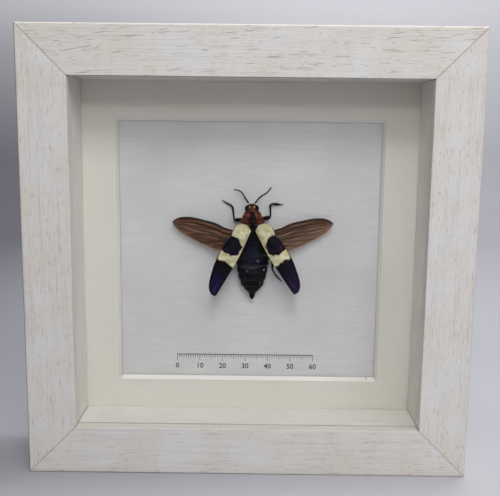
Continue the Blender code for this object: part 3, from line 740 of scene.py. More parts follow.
def make_mat():
    """The mat: loops round the window, from the back edge over the face and down the bevel.

    The face is very slightly cockled. The cut reaches farther up at the bottom, and painted shade greys its
    foot all round and its sides and top a little.
    """
    window = MAT_WINDOW_HALF
    face = [(SHEET_HALF + (window + MAT_BEVEL - SHEET_HALF) * s, 0.0, MAT_WINDOW_DROP * s, 0.0)
            for s in np.linspace(0, 1, MAT_FACE_LOOPS)]
    bevel = [(window + MAT_BEVEL * (1 - s), MAT_THICK * s, MAT_WINDOW_DROP, 1.0)
             for s in np.linspace(0.02, 1, MAT_BEVEL_LOOPS)]
    loops = [(SHEET_HALF, MAT_THICK, 0.0, 0.0)] + face + bevel
    rings, core, painted_cut_shade = [], [], []
    for half_width, behind, drop, white in loops:
        x, z = square_loop(half_width, -drop, MAT_SIDE_POINTS)
        rise = white * MAT_BEVEL_RISE * behind / MAT_THICK
        z = z + rise * (half_width - z - drop) / (2 * half_width)
        rings.append(framed(x, MAT_FRONT + behind, z))
        core.append(np.full(len(x), white))
        # Painted shade on the cut: some on its sides, less on its top, none on its bottom, and full along its
        # foot.
        at_side = np.abs(x) > np.abs(z + drop)
        painted_cut_shade.append(white * np.where(at_side, 0.3, np.where(z > 0, 0.15, 0.0)))
    painted_cut_shade[-1][:] = 1.0
    rings = np.array(rings)
    front = np.array([behind == 0.0 for _, behind, _, _ in loops])[:, None]
    rings[..., 1] += front * MAT_COCKLE * (ripples(rings, 24, 31) - 1)
    count = 4 * MAT_SIDE_POINTS
    last = (len(loops) - 1) * count
    here, beside = np.arange(count), np.roll(np.arange(count), -1)
    back = np.stack([last + here, last + beside, beside, here], -1)
    quads = np.vstack([grid_quads(len(loops), count, round_columns=True), back])
    piece("bevelled_mat", (rings.reshape(-1, 3), quads, np.zeros((0, 3), int)), MAT_CARD, ["mat"],
          {"core": np.array(core), "painted_cut_shade": np.array(painted_cut_shade)}, crease=30)


def make_board():
    """The laid board: a sheet whose face has the low waves of the mould's lines."""
    height, width = (np.linspace(-SHEET_HALF, SHEET_HALF, count) for count in (BOARD_ROWS, BOARD_COLUMNS))
    z, x = np.meshgrid(height, width, indexing="ij")
    wander = ripples(flat_place(x, z), 30, 41)
    wave = np.cos(2 * math.pi * (z + 0.5 * wander) / LAID_SPACING)
    wave += 0.6 * ripples(flat_place(x / 9, z), 2.2, 42)
    top = framed(x, BOARD_FRONT + 0.02 - LAID_DEPTH * wave, z)
    under = framed(x, BOARD_FRONT + BOARD_THICK, z)
    piece("laid_board", closed_sheet(top, under), LAID_CARD, ["specimen_board"], crease=40)


SCALE_LENGTH = 60              # millimetres on the printed scale under the beetle
SCALE_LEFT = -31.4
SCALE_TOP = -47.0
SCALE_LINE = 0.28              # thickness of the line that the ticks hang from
TICK_WIDTH = 0.2
INK_FRONT, INK_BACK = 0.07, 0.03  # how far the ink's two faces stand out from the board
NUMBER_SIZE, NUMBER_WEIGHT, NUMBER_THICK = 3.2, 0.045, 0.02
NUMBER_DROP = 6.4              # from the line down to the numbers' feet


def printed(name, boxes):
    """Flat printed strokes on the board, each a thin closed block (left, right, bottom, top)."""
    parts = []
    for left, right, low, high in boxes:
        x, z = np.meshgrid((left, right), (low, high))
        parts.append(closed_sheet(over_board(x, z, INK_FRONT), over_board(x, z, INK_BACK)))
    return piece(name, joined(parts), INK, crease=30)


def printed_number(value):
    """A plain number under its tick of the scale, as flat printed strokes."""
    text = bpy.data.curves.new(f"number_{value}", "FONT")
    text.body = str(value)
    text.size = NUMBER_SIZE * MM
    text.offset = NUMBER_WEIGHT * MM
    text.align_x = "CENTER"
    text.extrude = NUMBER_THICK * MM
    text.resolution_u = 3
    holder = new_object(f"number_{value}", text)
    depsgraph = bpy.context.evaluated_depsgraph_get()
    flat = bpy.data.meshes.new_from_object(holder.evaluated_get(depsgraph))
    bpy.data.objects.remove(holder)
    x, y, z = over_board(SCALE_LEFT + value, SCALE_TOP - NUMBER_DROP, (INK_FRONT + INK_BACK) / 2) * MM
    flat.transform(Matrix(((1, 0, 0, x), (0, 0, -1, y), (0, 1, 0, z), (0, 0, 0, 1))))
    flat.materials.clear()
    flat.materials.append(INK)
    made = new_object(f"scale_number_{value}", flat)
    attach(made, "root")


def make_scale():
    """A printed millimetre scale under the beetle: ticks each millimetre and plain numbers."""
    strokes = [(SCALE_LEFT, SCALE_LEFT + SCALE_LENGTH, SCALE_TOP - SCALE_LINE, SCALE_TOP)]
    for tick in range(SCALE_LENGTH + 1):
        length = 3.0 if tick % 10 == 0 else 2.3 if tick % 5 == 0 else 1.5
        x = SCALE_LEFT + tick
        strokes.append((x - TICK_WIDTH / 2, x + TICK_WIDTH / 2, SCALE_TOP - length, SCALE_TOP))
    printed("scale_ticks", strokes)
    for value in range(0, SCALE_LENGTH + 1, 10):
        printed_number(value)


# Beetle: places are x and z from the frame's centre, and h out from the specimen board
BODY_X = 1.4
HEAD_X = 0.95
PRONOTUM_X = 1.2
ELYTRA_X = 1.6
BODY_CLEARANCE = 1.25

# Elytron: its seam edge and outer margin as (along, out) from the inner base corner, and the same
# for the edge of its dark blotch and of its dark end
ELYTRON_BASE = (0.93, 9.03)
ELYTRON_ANGLE = {"left": 27.6, "right": 31.5}
ELYTRON_SEAM = [(0.0, 0.0), (7.0, -0.5), (14.0, -0.75), (22.0, -0.35), (28.0, -0.05), (31.1, 0.15)]
ELYTRON_MARGIN = [(-0.45, 5.2), (1.2, 6.6), (3.5, 6.9), (6.0, 6.55), (9.5, 7.25), (14.0, 7.45), (19.0, 7.2),
                  (23.5, 6.4), (27.0, 5.5), (29.5, 4.4), (31.0, 3.0), (31.5, 1.9)]
BLOTCH = {"left": [(5.0, 9.0), (5.1, 6.5), (5.7, 5.6), (5.4, 4.9), (5.0, 4.3), (5.2, 3.1), (5.8, 2.2),
                   (6.8, 1.5), (6.9, 0.9), (8.0, 0.4), (10.2, 0.1), (11.6, 0.4), (12.3, 1.4), (12.8, 2.6),
                   (13.0, 4.7), (12.7, 6.7), (12.6, 9.0)],
          "right": [(5.9, 9.0), (5.6, 5.6), (5.0, 5.0), (5.2, 4.0), (5.2, 3.0), (5.9, 2.2), (7.0, 1.1),
                    (9.1, 0.3), (10.5, 0.1), (11.6, 0.6), (12.5, 1.0), (13.0, 2.1), (13.1, 3.0),
                    (13.5, 3.5), (13.3, 4.6), (13.0, 5.9), (12.8, 9.0)]}
DARK_END = {"left": [(-1.0, 17.6), (0.9, 16.7), (2.4, 16.4), (4.7, 16.3), (5.5, 17.1), (8.0, 16.8)],
            "right": [(-1.0, 17.5), (1.5, 16.8), (3.2, 16.6), (4.7, 16.6), (5.6, 17.3), (8.0, 16.8)]}
ELYTRON_HEIGHT = 6.6           # of its underside at the base, over the board
ELYTRON_LIFT = 0.14            # how much it rises for each millimetre of its length
ELYTRON_ARCH = 1.25
ELYTRON_THICK = 0.55
ELYTRON_RIBS = 4
ELYTRON_PITS = 0.42            # from one pit to the next
ELYTRON_ROWS, ELYTRON_COLUMNS = 190, 60


def inside_distance(along, out, outline):
    """Signed distance to a closed outline, positive inside: to its nearest edge, with the sign from
    a count of crossings."""
    nearest = np.full(along.shape, 1e9)
    inside = np.zeros(along.shape, bool)
    for (a1, o1), (a2, o2) in zip(outline, outline[1:] + outline[:1]):
        da, do = a2 - a1, o2 - o1
        t = np.clip(((along - a1) * da + (out - o1) * do) / (da * da + do * do), 0, 1)
        nearest = np.minimum(nearest, np.hypot(along - a1 - t * da, out - o1 - t * do))
        crosses = ((o1 > out) != (o2 > out)) & (along < da * (out - o1) / (do if do else 1e-9) + a1)
        inside ^= crosses
    return np.where(inside, nearest, -nearest)


def elytron_height(along, share):
    """Height over the board of the elytron's underside, share running 0 to 1 across it."""
    dome = ELYTRON_ARCH * (1 - (2 * share - 1) ** 2) * np.sqrt(np.clip(1 - (along / 33) ** 4, 0, 1))
    droop = np.maximum(0.0, (along - 22) / 9) ** 2
    return ELYTRON_HEIGHT + ELYTRON_LIFT * along + dome - droop


def make_elytron(side):
    """One wing case: a domed shell swung out from the midline, with faint ribs, fine pits and a rolled
    edge; masks give its dark blotch, its dark end and the sheen towards the tip."""
    is_left = side == "left"
    sign = -1 if is_left else 1
    angle = math.radians(ELYTRON_ANGLE[side])
    along, out, share = sheet_between(ELYTRON_SEAM, ELYTRON_MARGIN, ELYTRON_ROWS, ELYTRON_COLUMNS)
    length_share = np.linspace(0, 1, ELYTRON_ROWS)[:, None]
    along = along - 1.05 * (1 - length_share) ** 6 * np.sin(math.pi * share)
    x = ELYTRA_X + sign * (ELYTRON_BASE[0] + along * math.sin(angle) + out * math.cos(angle))
    z = ELYTRON_BASE[1] - along * math.cos(angle) + out * math.sin(angle)
    surface = flat_place(along, out)
    under = elytron_height(along, share)
    ribs = np.cos(2 * math.pi * ELYTRON_RIBS * share) * np.sin(math.pi * share)
    rolled = np.exp(-share / 0.035) + np.exp(-(1 - share) / 0.035)
    pitted = pits(along, out, ELYTRON_PITS, 5 if is_left else 9)
    relief = 0.035 * ribs - 0.05 * pitted + 0.05 * rolled + 0.03 * ripples(surface, 2.5, 3)
    fade = np.minimum(1, np.minimum(share, 1 - share) / 0.02)
    top = over_board(x, z, under + ELYTRON_THICK * (0.55 + 0.45 * fade) + relief * fade)
    lower = over_board(x, z, under + ELYTRON_THICK * 0.1)
    wobble = 0.28 * ripples(surface, 1.9, 17 if is_left else 18)
    wobble = wobble + 0.5 * np.abs(ripples(surface, 1.0, 19)) - 0.15
    blotch = inside_distance(along, out, BLOTCH[side]) + wobble
    places, edges = zip(*DARK_END[side])
    dark_end = along - np.interp(out, places, edges) + wobble
    dark = smooth_step(-0.12, 0.12, np.maximum(blotch, dark_end))
    rim = smooth_step(0.945, 0.97, share) * smooth_step(0.0, 3.0, along)
    glow = 0.45 + 0.35 * ripples(flat_place(along / 6, out), 1.8, 8)
    tip = smooth_step(18, 28, along) * np.exp(-((share - 0.5) / 0.26) ** 2) * glow
    tip = tip * smooth_step(31.5, 29, along)
    spots = 0.35 * smooth_step(0.3, 1.2, ripples(flat_place(along / 2, out), 1.5, 21)) * dark
    masks = {"dark": np.maximum(dark, 0.9 * rim), "pit": pitted, "tip": np.maximum(tip, spots * (along < 15)),
             "violet": np.full_like(along, 0.15 if is_left else 0.8)}
    piece(f"wing_case_{side}", closed_sheet(top, lower), WING_CASE, [f"elytron_{side}"],
          on_both_faces(masks), crease=60)


# Edges of a spread hindwing from root to tip: out from the body's midline, and up
WING_ROOT = 5.3
WING_LEADING = [(WING_ROOT, 7.7), (9.2, 9.2), (12.4, 10.2), (16.0, 11.9), (21.0, 13.1), (26.0, 14.15),
                (30.5, 14.15), (33.2, 13.1), (34.4, 12.1)]
WING_TRAILING = [(WING_ROOT, 4.9), (6.6, 1.2), (9.8, -0.75), (14.6, -0.05), (18.2, 1.25), (22.6, 3.1),
                 (27.0, 5.3), (30.8, 7.7), (33.2, 10.0), (34.4, 11.5)]
WING_ROOT_HEIGHT, WING_TIP_HEIGHT = 5.1, 2.7
FOLD_DEPTH, VEIN_HEIGHT, MEMBRANE_THICK = 0.16, 0.07, 0.12
WING_ROWS, WING_COLUMNS = 200, 76
# Veins: (reach, share across) points from root to edge, then the vein's half width
VEINS = {
    "left": [([(0.0, 0.03), (0.5, 0.03), (1.0, 0.1)], 0.55),
             ([(0.0, 0.22), (0.3, 0.24), (0.6, 0.34), (0.95, 0.5)], 0.32),
             ([(0.0, 0.35), (0.2, 0.44), (0.45, 0.52), (0.62, 0.64), (0.75, 0.85)], 0.26),
             ([(0.1, 0.5), (0.2, 0.46), (0.32, 0.5)], 0.6),
             ([(0.12, 0.45), (0.35, 0.66), (0.6, 1.0)], 0.24),
             ([(0.05, 0.5), (0.25, 0.7), (0.42, 1.0)], 0.24),
             ([(0.03, 0.55), (0.15, 0.75), (0.27, 1.0)], 0.22),
             ([(0.02, 0.6), (0.08, 0.8), (0.14, 1.0)], 0.2),
             ([(0.3, 0.5), (0.5, 0.55), (0.88, 0.72)], 0.2),
             ([(0.35, 0.25), (0.6, 0.2), (0.9, 0.3)], 0.2)],
    "right": [([(0.0, 0.03), (0.5, 0.03), (1.0, 0.1)], 0.5),
              ([(0.0, 0.16), (0.4, 0.16), (0.9, 0.3)], 0.2),
              ([(0.0, 0.24), (0.4, 0.28), (0.95, 0.46)], 0.22),
              ([(0.02, 0.36), (0.4, 0.4), (0.9, 0.62)], 0.2),
              ([(0.02, 0.44), (0.4, 0.52), (0.8, 0.76)], 0.22),
              ([(0.03, 0.52), (0.35, 0.64), (0.68, 0.9)], 0.2),
              ([(0.04, 0.6), (0.3, 0.76), (0.52, 0.98)], 0.2),
              ([(0.05, 0.68), (0.2, 0.84), (0.34, 1.0)], 0.2),
              ([(0.04, 0.55), (0.12, 0.5), (0.2, 0.53)], 0.45)],
}


def make_hindwing(side):
    """One hindwing: a thin sheet between its two edges, with raised veins and folds along its length."""
    is_left = side == "left"
    sign = -1 if is_left else 1
    out, up, share = sheet_between(WING_LEADING, WING_TRAILING, WING_ROWS, WING_COLUMNS)
    span = WING_LEADING[-1][0] - WING_ROOT
    reach = np.clip((out - WING_ROOT) / span, 0, 1)
    height = WING_ROOT_HEIGHT + (WING_TIP_HEIGHT - WING_ROOT_HEIGHT) * np.sin(math.pi / 2 * reach)
    width = np.maximum(np.hypot(out[:, :1] - out[:, -1:], up[:, :1] - up[:, -1:]), 1.0)
    folds = ripples(flat_place(2.1 * reach, 9 * share), 1.6, 51 if is_left else 58)
    edge_fade = smooth_step(0, 0.06, share) * smooth_step(0, 0.05, 1 - share)
    vein = np.zeros_like(out)
    for line, half_width in VEINS[side]:
        reaches, shares = zip(*line)
        begun = smooth_step(reaches[0] - 0.02, reaches[0] + 0.02, reach)
        not_over = smooth_step(reaches[-1] + 0.02, reaches[-1] - 0.02, reach)
        across = (share - np.interp(reach, reaches, shares)) * width / (half_width * (1.25 - 0.6 * reach))
        vein = np.maximum(vein, begun * not_over * np.exp(-across ** 2))
    folded = height + FOLD_DEPTH * folds * edge_fade
    points = [over_board(BODY_X + sign * out, up, h)
              for h in (folded + VEIN_HEIGHT * vein, folded - MEMBRANE_THICK)]
    rear_edge = 0.8 * smooth_step(0.945, 0.99, share)
    rear_half = (0.0 if is_left else 0.25) * smooth_step(0.25, 0.9, share)
    # The fold mask is a painted highlight on the crests of the folds.
    masks = {"vein": vein, "painted_fold_highlight": smooth_step(0.1, 0.9, folds) * edge_fade,
             "pale": np.maximum(rear_edge, rear_half)}
    flow = np.stack([reach * span, share * width, 0 * reach + 3], -1)
    piece(f"membrane_wing_{side}", closed_sheet(*points), MEMBRANE, [f"hindwing_{side}"],
          on_both_faces(masks), np.concatenate([flow, flow]), crease=70)


SQUARENESS = 0.8               # below 1, a section is a little squarer than a circle


def rounded_square(sides):
    """Rows of x and y once round a unit section that is a little squarer than a circle."""
    turn = full_turn(sides)
    return [np.sign(part) * np.abs(part) ** SQUARENESS for part in (np.cos(turn), np.sin(turn))]


def body_rings(centre, stations, z_of, rows, sides):
    """Rings of a rounded section carried down the body through its stations.

    Each station is (place, half width, top, bottom); a smooth curve joins them, and z_of gives a
    point's height in the frame from its place, its distance from the midline and the half width.
    """
    place, half_width, top, bottom = curve_through(stations, rows).T[..., None]
    out, rise = rounded_square(sides)
    x = half_width * out
    h = (top + bottom) / 2 + rise * (top - bottom) / 2
    return over_board(centre + x, z_of(place, x, half_width), h)


def raised(rings, relief):
    """The rings moved out along their own normals by a relief in millimetres."""
    across = np.roll(rings, -1, axis=1) - np.roll(rings, 1, axis=1)
    normal = np.cross(across, np.gradient(rings, axis=0))
    normal /= np.maximum(np.linalg.norm(normal, axis=-1, keepdims=True), 1e-9)
    away = rings - rings.mean(axis=1, keepdims=True)
    normal *= np.sign(np.sum(normal * away))
    return rings + normal * relief[..., None]


def eased_ends(rows, reach):
    """A column of ones that falls to zero over this many rows at each end of a skin."""
    row = np.arange(rows)
    return np.minimum(1, np.minimum(row, rows - 1 - row) / reach)[:, None]


WAIST_BOW = 0.9
ABDOMEN_TIP = -21.4
ABDOMEN_WIDTH = [(-2.3, 6.8), (-5.0, 6.9), (-7.3, 6.6), (-10.4, 6.1), (-13.4, 5.2), (-15.4, 4.45),
                 (-16.6, 3.4), (-17.7, 2.15), (-18.7, 1.35), (-20.4, 0.98), (-21.1, 0.62), (-21.4, 0.25)]
ABDOMEN_TOP = [(-2.3, 6.1), (-7.0, 6.1), (-11.0, 5.4), (-15.0, 4.4), (-17.7, 3.5), (-20.4, 2.9), (-21.4, 2.3)]
PLATE_ENDS = [-2.3, -6.0, -9.2, -12.5, -15.4, -17.7]
PLATE_STEP = 0.32


def table_at(table, place):
    """Values at places, read along straight lines between the (place, value) pairs of a table."""
    places, values = zip(*sorted(table))
    return np.interp(place, places, values)


def make_abdomen():
    """The abdomen: five overlapping plates, each with a raised rear edge, narrowing to a blunt tail."""
    keys = []
    for start, end in zip(PLATE_ENDS, PLATE_ENDS[1:]):
        keys += [(start - 0.02, -1.0), (start + 0.45 * (end - start), -0.2)]
        keys += [(end + 0.25, 0.5), (end + 0.05, 0.2)]
    keys += [(-17.9, 0.0), (ABDOMEN_TIP, 0.0)]
    z = np.concatenate([np.linspace(PLATE_ENDS[0] - 0.02, -17.7, 150), np.linspace(-17.8, ABDOMEN_TIP, 40)])
    stand = PLATE_STEP * table_at(keys, z)
    width = table_at(ABDOMEN_WIDTH, z) + stand
    width[1:-1] = (width[:-2] + 2 * width[1:-1] + width[2:]) / 4
    top = table_at(ABDOMEN_TOP, z) + 0.7 * stand
    bottom = BODY_CLEARANCE + 0.8 * (z / ABDOMEN_TIP) ** 4
    z, width, top, bottom = (values[:, None] for values in (z, width, top, bottom))
    out, rise = rounded_square(120)
    x = width * out
    h = (top + bottom) / 2 + rise * ((top - bottom) / 2)
    level = z - WAIST_BOW * (1 - z / ABDOMEN_TIP) * (1 - out ** 2)
    rings = over_board(BODY_X + x, level, h)
    place = np.stack(np.broadcast_arrays(x, z, h), -1)
    upper = smooth_step(-0.1, 0.3, rise)
    relief = -0.08 * pits(x, z, 0.55, 61) * upper + 0.07 * ripples(place, 1.5, 62)
    relief -= 0.12 * np.exp(-(x / 0.35) ** 2) * upper
    uneven = 0.1 * ripples(place, 1.6, 65)
    ridge = sum(np.exp(-((z - end - 0.3 + uneven) / 0.13) ** 2) for end in PLATE_ENDS)
    relief += 0.08 * ridge * upper
    relief *= smooth_step(0, 1.5, z - ABDOMEN_TIP)
    # Painted highlights: pale dots along the plates' raised rear edges, in the pale mask; the wavy band added
    # to it next is a real pale line.
    pale = 0.6 * ridge * upper * smooth_step(-0.1, 0.9, ripples(place, 0.6, 66))
    band = level + 0.12 * ripples(place, 2.4, 64) + 7.1 + 0.35 * np.cos(x * 2.1)
    pale += 0.6 * np.exp(-(band / 0.14) ** 2) * np.exp(-(x / 2.6) ** 4) * upper
    blue = smooth_step(0.0, 0.8, 0.5 + 0.9 * ripples(place * np.array([1.0, 2.0, 1.0]), 3.4, 63))
    blue *= np.exp(-(x / 3.4) ** 2) * smooth_step(-11, -4, z) * 0.85
    piece("ringed_abdomen", skin(raised(rings, relief)), BLUE_CUTICLE, ["abdomen"],
          {"centre": blue, "pale": np.clip(pale, 0, 1)}, crease=70)


def make_thorax():
    """The body under the wing cases, and the small shield that lies between their bases."""
    stations = [(10.6, 4.2, 5.0, 1.25), (10.1, 4.9, 5.6, 1.25), (8.2, 5.6, 5.9, 1.25), (5.0, 6.2, 5.0, 1.25),
                (1.0, 6.6, 5.1, 1.25), (-1.7, 6.8, 5.8, 1.25), (-2.0, 6.7, 5.7, 1.25)]

    def bowed(z, x, half_width):
        bow = WAIST_BOW * np.where(z < 0, 1 - z / ABDOMEN_TIP, np.clip(1 - z / 8, 0, 1))
        return z - bow * (1 - (x / half_width) ** 2)

    rings = body_rings(BODY_X, stations, bowed, rows=110, sides=110)
    relief = 0.07 * ripples(rings, 1.3, 71) - 0.05 * pits(rings[..., 0], rings[..., 2], 0.5, 72)
    relief += 0.1 * np.cos(rings[..., 2] * 2.1) * np.exp(-((rings[..., 0] - BODY_X) / 3) ** 2)
    blue = 0.5 * np.exp(-((rings[..., 0] - BODY_X) / 2.2) ** 2) * smooth_step(6, 1, rings[..., 2] - HALF)
    body = skin(raised(rings, relief))
    outline = np.array([(-1.25, 0.95), (0, 1.15), (1.25, 0.95), (1.3, 0.3), (0.85, -0.4), (0.0, -1.2),
                        (-0.85, -0.4), (-1.3, 0.3)])
    rim = curve_through(np.vstack([outline, outline[:1]]), 41)[:-1]
    shield = [over_board(BODY_X + rim[:, 0] * g, 9.5 + rim[:, 1] * g, h)
              for g, h in ((0.9, 5.2), (1.0, 5.6), (1.0, 6.1), (0.93, 6.32), (0.7, 6.5), (0.35, 6.58))]
    shape = joined([body, skin(np.array(shield))])
    piece("thorax_and_shield", shape, BLUE_CUTICLE, ["thorax"], {"centre": blue}, crease=60)


PRONOTUM_FRONT, PRONOTUM_REAR = 16.95, 11.1


def make_pronotum():
    """The shield behind the head: wider to the rear, its rear edge waved, with coarse wrinkles, a smooth
    dark middle and a hollow near each rear corner."""
    stations = [(0.0, 2.95, 5.3, 1.7), (0.05, 3.2, 5.6, 1.5), (0.3, 3.85, 6.3, 1.3), (0.55, 4.45, 6.75, 1.25),
                (0.8, 4.95, 6.75, 1.25), (0.93, 5.2, 6.4, 1.3), (1.0, 4.8, 5.9, 1.7)]

    def waved(share, x, half_width):
        rear = PRONOTUM_REAR + 0.95 * np.minimum(1.0, np.abs(x) / 5.2) ** 0.8
        return PRONOTUM_FRONT + (rear - PRONOTUM_FRONT) * share

    rings = body_rings(PRONOTUM_X, stations, waved, rows=120, sides=140)
    x, z = rings[..., 0] - PRONOTUM_X, rings[..., 2] - HALF
    front_side = smooth_step(2.5, 5.0, BOARD_FRONT + FACE - rings[..., 1])
    wrinkles = np.abs(ripples(rings, 1.5, 81)) + 0.6 * np.abs(ripples(rings, 0.8, 82))
    relief = 0.1 - 0.26 * np.clip(1 - 1.5 * wrinkles, 0, 1)
    relief -= 0.3 * np.exp(-((np.abs(x) - 3.4) / 0.9) ** 2 - ((z - 13.2) / 0.8) ** 2) * front_side
    relief -= 0.12 * np.exp(-(x / 0.5) ** 2) * smooth_step(16.4, 15.2, z) * front_side
    relief *= eased_ends(len(rings), 6)
    half_dark = 0.9 + 1.1 * np.exp(-((z - 13.6) / 1.6) ** 2)
    dark = smooth_step(1.25, 0.75, np.abs(x) / half_dark + 0.22 * ripples(rings, 1.1, 83))
    piece("wrinkled_pronotum", skin(raised(rings, relief)), RED_CUTICLE, ["pronotum"],
          {"centre": np.clip(dark, 0, 1)}, crease=80)


EYE_HALF = (0.98, 1.12, 1.3)   # half sizes across, in depth and up
EYE_LEAN = 14
EYE_OUT, EYE_UP, EYE_HEIGHT = 2.02, 18.35, 3.85


def eye_points(sign):
    """A large eye: an ellipsoid, longest up the head, whose top leans towards the other eye."""
    polar = np.linspace(0.06, math.pi - 0.06, 40)[:, None]
    turn = full_turn(64)
    x, y, z = (EYE_HALF[0] * np.sin(polar) * np.cos(turn), EYE_HALF[1] * np.cos(polar) + 0 * turn,
               EYE_HALF[2] * np.sin(polar) * np.sin(turn))
    tip = math.radians(-EYE_LEAN * sign)
    leaning = np.stack([x * math.cos(tip) + z * math.sin(tip), y, -x * math.sin(tip) + z * math.cos(tip)], -1)
    return leaning + over_board(HEAD_X + sign * EYE_OUT, EYE_UP, EYE_HEIGHT)


def make_head():
    """The head: wrinkled and bent down to the front, with a furrow down its middle, two painted glints just
    inside its eyes, and its two eyes.
    """
    stations = [(17.3, 2.5, 4.9, 1.6), (17.6, 2.65, 5.05, 1.4), (18.6, 2.45, 4.7, 1.3), (19.4, 1.9, 4.0, 1.3),
                (19.95, 1.35, 3.3, 1.5), (20.15, 0.9, 2.9, 1.9)]
    rings = body_rings(HEAD_X, stations, lambda z, x, half_width: z, rows=70, sides=96)
    x, z = rings[..., 0] - HEAD_X, rings[..., 2] - HALF
    wrinkles = np.abs(ripples(rings, 0.9, 91))
    relief = -0.12 * np.clip(1 - 2 * wrinkles, 0, 1) - 0.12 * np.exp(-(x / 0.3) ** 2) * smooth_step(20, 19, z)
    relief *= eased_ends(len(rings), 5)
    dark = smooth_step(0.2, 0.9, 0.25 + 0.5 * ripples(rings, 1.1, 92) + 0.9 * smooth_step(19.2, 20.0, z))
    # Painted glints: two pale spots just inside the eyes, each also raised a little.
    painted_glint_spots = np.exp(-(((np.abs(x) - 1.15) ** 2 + (z - 18.9) ** 2) / 0.36 ** 2) ** 2)
    piece("wrinkled_head", skin(raised(rings, relief + 0.15 * painted_glint_spots)), RED_CUTICLE, ["head"],
          {"centre": 0.9 * dark, "pale": painted_glint_spots}, crease=80)
    for side, sign in (("left", -1), ("right", 1)):
        piece(f"eye_{side}", skin(eye_points(sign)), EYE, ["head"])


LIMB_FLATTEN = 0.85            # thickness of a limb as a share of its width


def limb_rings(path, samples, sides):
    """Rings round a smooth path of (x, z, h, radius), square to the path and a little flattened."""
    line = curve_through(path, samples)
    points = over_board(line[:, 0], line[:, 1], line[:, 2])
    tangent = np.gradient(points, axis=0)
    tangent /= np.linalg.norm(tangent, axis=1)[:, None]
    side = np.cross(tangent, np.array((0.0, -1.0, 0.0)))
    side /= np.linalg.norm(side, axis=1)[:, None]
    up = np.cross(side, tangent)
    turn = full_turn(sides)[..., None]
    radius = np.maximum(line[:, 3], 0.05)[:, None, None]
    around = np.cos(turn) * side[:, None, :] + LIMB_FLATTEN * np.sin(turn) * up[:, None, :]
    return points[:, None, :] + radius * around


# Antennae and legs: x, z, h and, on legs, the radius along thigh, shin and foot
ANTENNAE = {
    "left": [(-0.45, 20.35, 2.6), (-1.5, 21.85, 2.7), (-2.45, 23.3, 2.6), (-3.0, 24.3, 2.5),
             (-3.75, 25.1, 2.3), (-4.8, 25.7, 2.1), (-5.8, 25.9, 1.9), (-6.9, 25.85, 1.7)],
    "right": [(2.2, 20.3, 2.6), (2.7, 21.0, 2.7), (3.5, 22.05, 2.7), (4.5, 23.1, 2.6), (5.7, 23.9, 2.5),
              (6.85, 24.55, 2.4), (7.6, 25.2, 2.4), (8.25, 26.1, 2.4), (9.05, 27.15, 2.5)],
}
ANTENNA_JOINTS = 11
JOINT_SAMPLES = 12             # rings along each joint
ANTENNA_RADIUS = (0.37, 0.26)  # at its root and its tip, before the joints swell it
LEG_FULLNESS = 1.35            # the legs' hairs and spines fill them out by this much
THIGH_FULLNESS = 1.75          # and the thighs, their first three points, by this much
COXA = 1.2                     # length of the joint that goes in under the body
LEGS = {
    "foreleg_left": [(-3.95, 13.2, 1.7, 0.42), (-5.0, 13.1, 1.9, 0.52), (-6.0, 13.05, 2.0, 0.42),
                     (-6.45, 13.35, 2.0, 0.3), (-6.7, 14.4, 1.7, 0.25), (-7.0, 16.5, 1.3, 0.28),
                     (-7.35, 18.3, 1.0, 0.34), (-7.6, 18.85, 0.95, 0.24), (-8.25, 19.3, 0.9, 0.36),
                     (-8.75, 19.55, 0.9, 0.24), (-9.4, 19.85, 0.9, 0.36), (-9.9, 20.15, 0.85, 0.22),
                     (-10.5, 20.5, 0.85, 0.34), (-10.9, 20.75, 0.8, 0.16), (-11.4, 21.1, 0.75, 0.26)],
    "foreleg_right": [(6.45, 13.85, 1.7, 0.45), (7.3, 14.05, 1.9, 0.58), (8.2, 14.3, 2.0, 0.45),
                      (8.75, 14.6, 2.0, 0.32), (8.95, 15.6, 1.7, 0.27), (8.9, 17.3, 1.3, 0.28),
                      (8.78, 19.0, 1.0, 0.36), (8.95, 19.55, 0.95, 0.3), (9.6, 19.95, 0.9, 0.3),
                      (10.6, 20.0, 0.95, 0.4), (11.6, 19.9, 0.95, 0.44), (12.6, 19.8, 0.85, 0.32),
                      (13.2, 19.75, 0.8, 0.18), (13.8, 19.7, 0.75, 0.26)],
    "midleg_left": [(-6.1, 3.4, 1.6, 0.45), (-7.6, 2.6, 2.0, 0.55), (-9.3, 1.6, 2.3, 0.45),
                    (-9.9, 0.9, 2.3, 0.3), (-10.6, -1.6, 1.8, 0.26), (-11.5, -4.2, 1.2, 0.3),
                    (-12.0, -5.3, 1.0, 0.22), (-12.6, -7.0, 0.9, 0.32), (-13.2, -8.6, 0.8, 0.24)],
    "midleg_right": [(8.9, 3.4, 1.6, 0.45), (10.4, 2.6, 2.0, 0.55), (12.0, 1.7, 2.3, 0.45),
                     (12.7, 1.0, 2.3, 0.3), (13.6, -1.2, 1.8, 0.26), (14.8, -3.6, 1.2, 0.3),
                     (15.5, -4.6, 1.0, 0.22), (16.4, -6.2, 0.9, 0.32), (17.2, -7.6, 0.8, 0.24)],
    "hindleg_left": [(-6.3, -3.4, 1.6, 0.4), (-7.4, -4.6, 1.7, 0.5), (-8.6, -6.4, 1.6, 0.4),
                     (-9.1, -7.2, 1.5, 0.3), (-10.0, -9.2, 1.2, 0.26), (-11.0, -11.0, 1.0, 0.3),
                     (-11.7, -12.0, 0.9, 0.22), (-12.6, -13.4, 0.8, 0.32), (-13.3, -14.4, 0.8, 0.22)],
    "hindleg_right": [(9.2, -3.3, 1.6, 0.4), (10.0, -4.6, 1.6, 0.42), (10.25, -6.2, 1.5, 0.34),
                      (10.0, -7.9, 1.4, 0.26), (10.5, -9.2, 1.2, 0.27), (11.2, -10.4, 1.0, 0.24),
                      (11.8, -11.25, 0.9, 0.34), (12.3, -11.85, 0.9, 0.22), (12.85, -12.4, 0.85, 0.34),
                      (13.3, -12.8, 0.8, 0.2), (14.1, -13.5, 0.75, 0.26)],
}


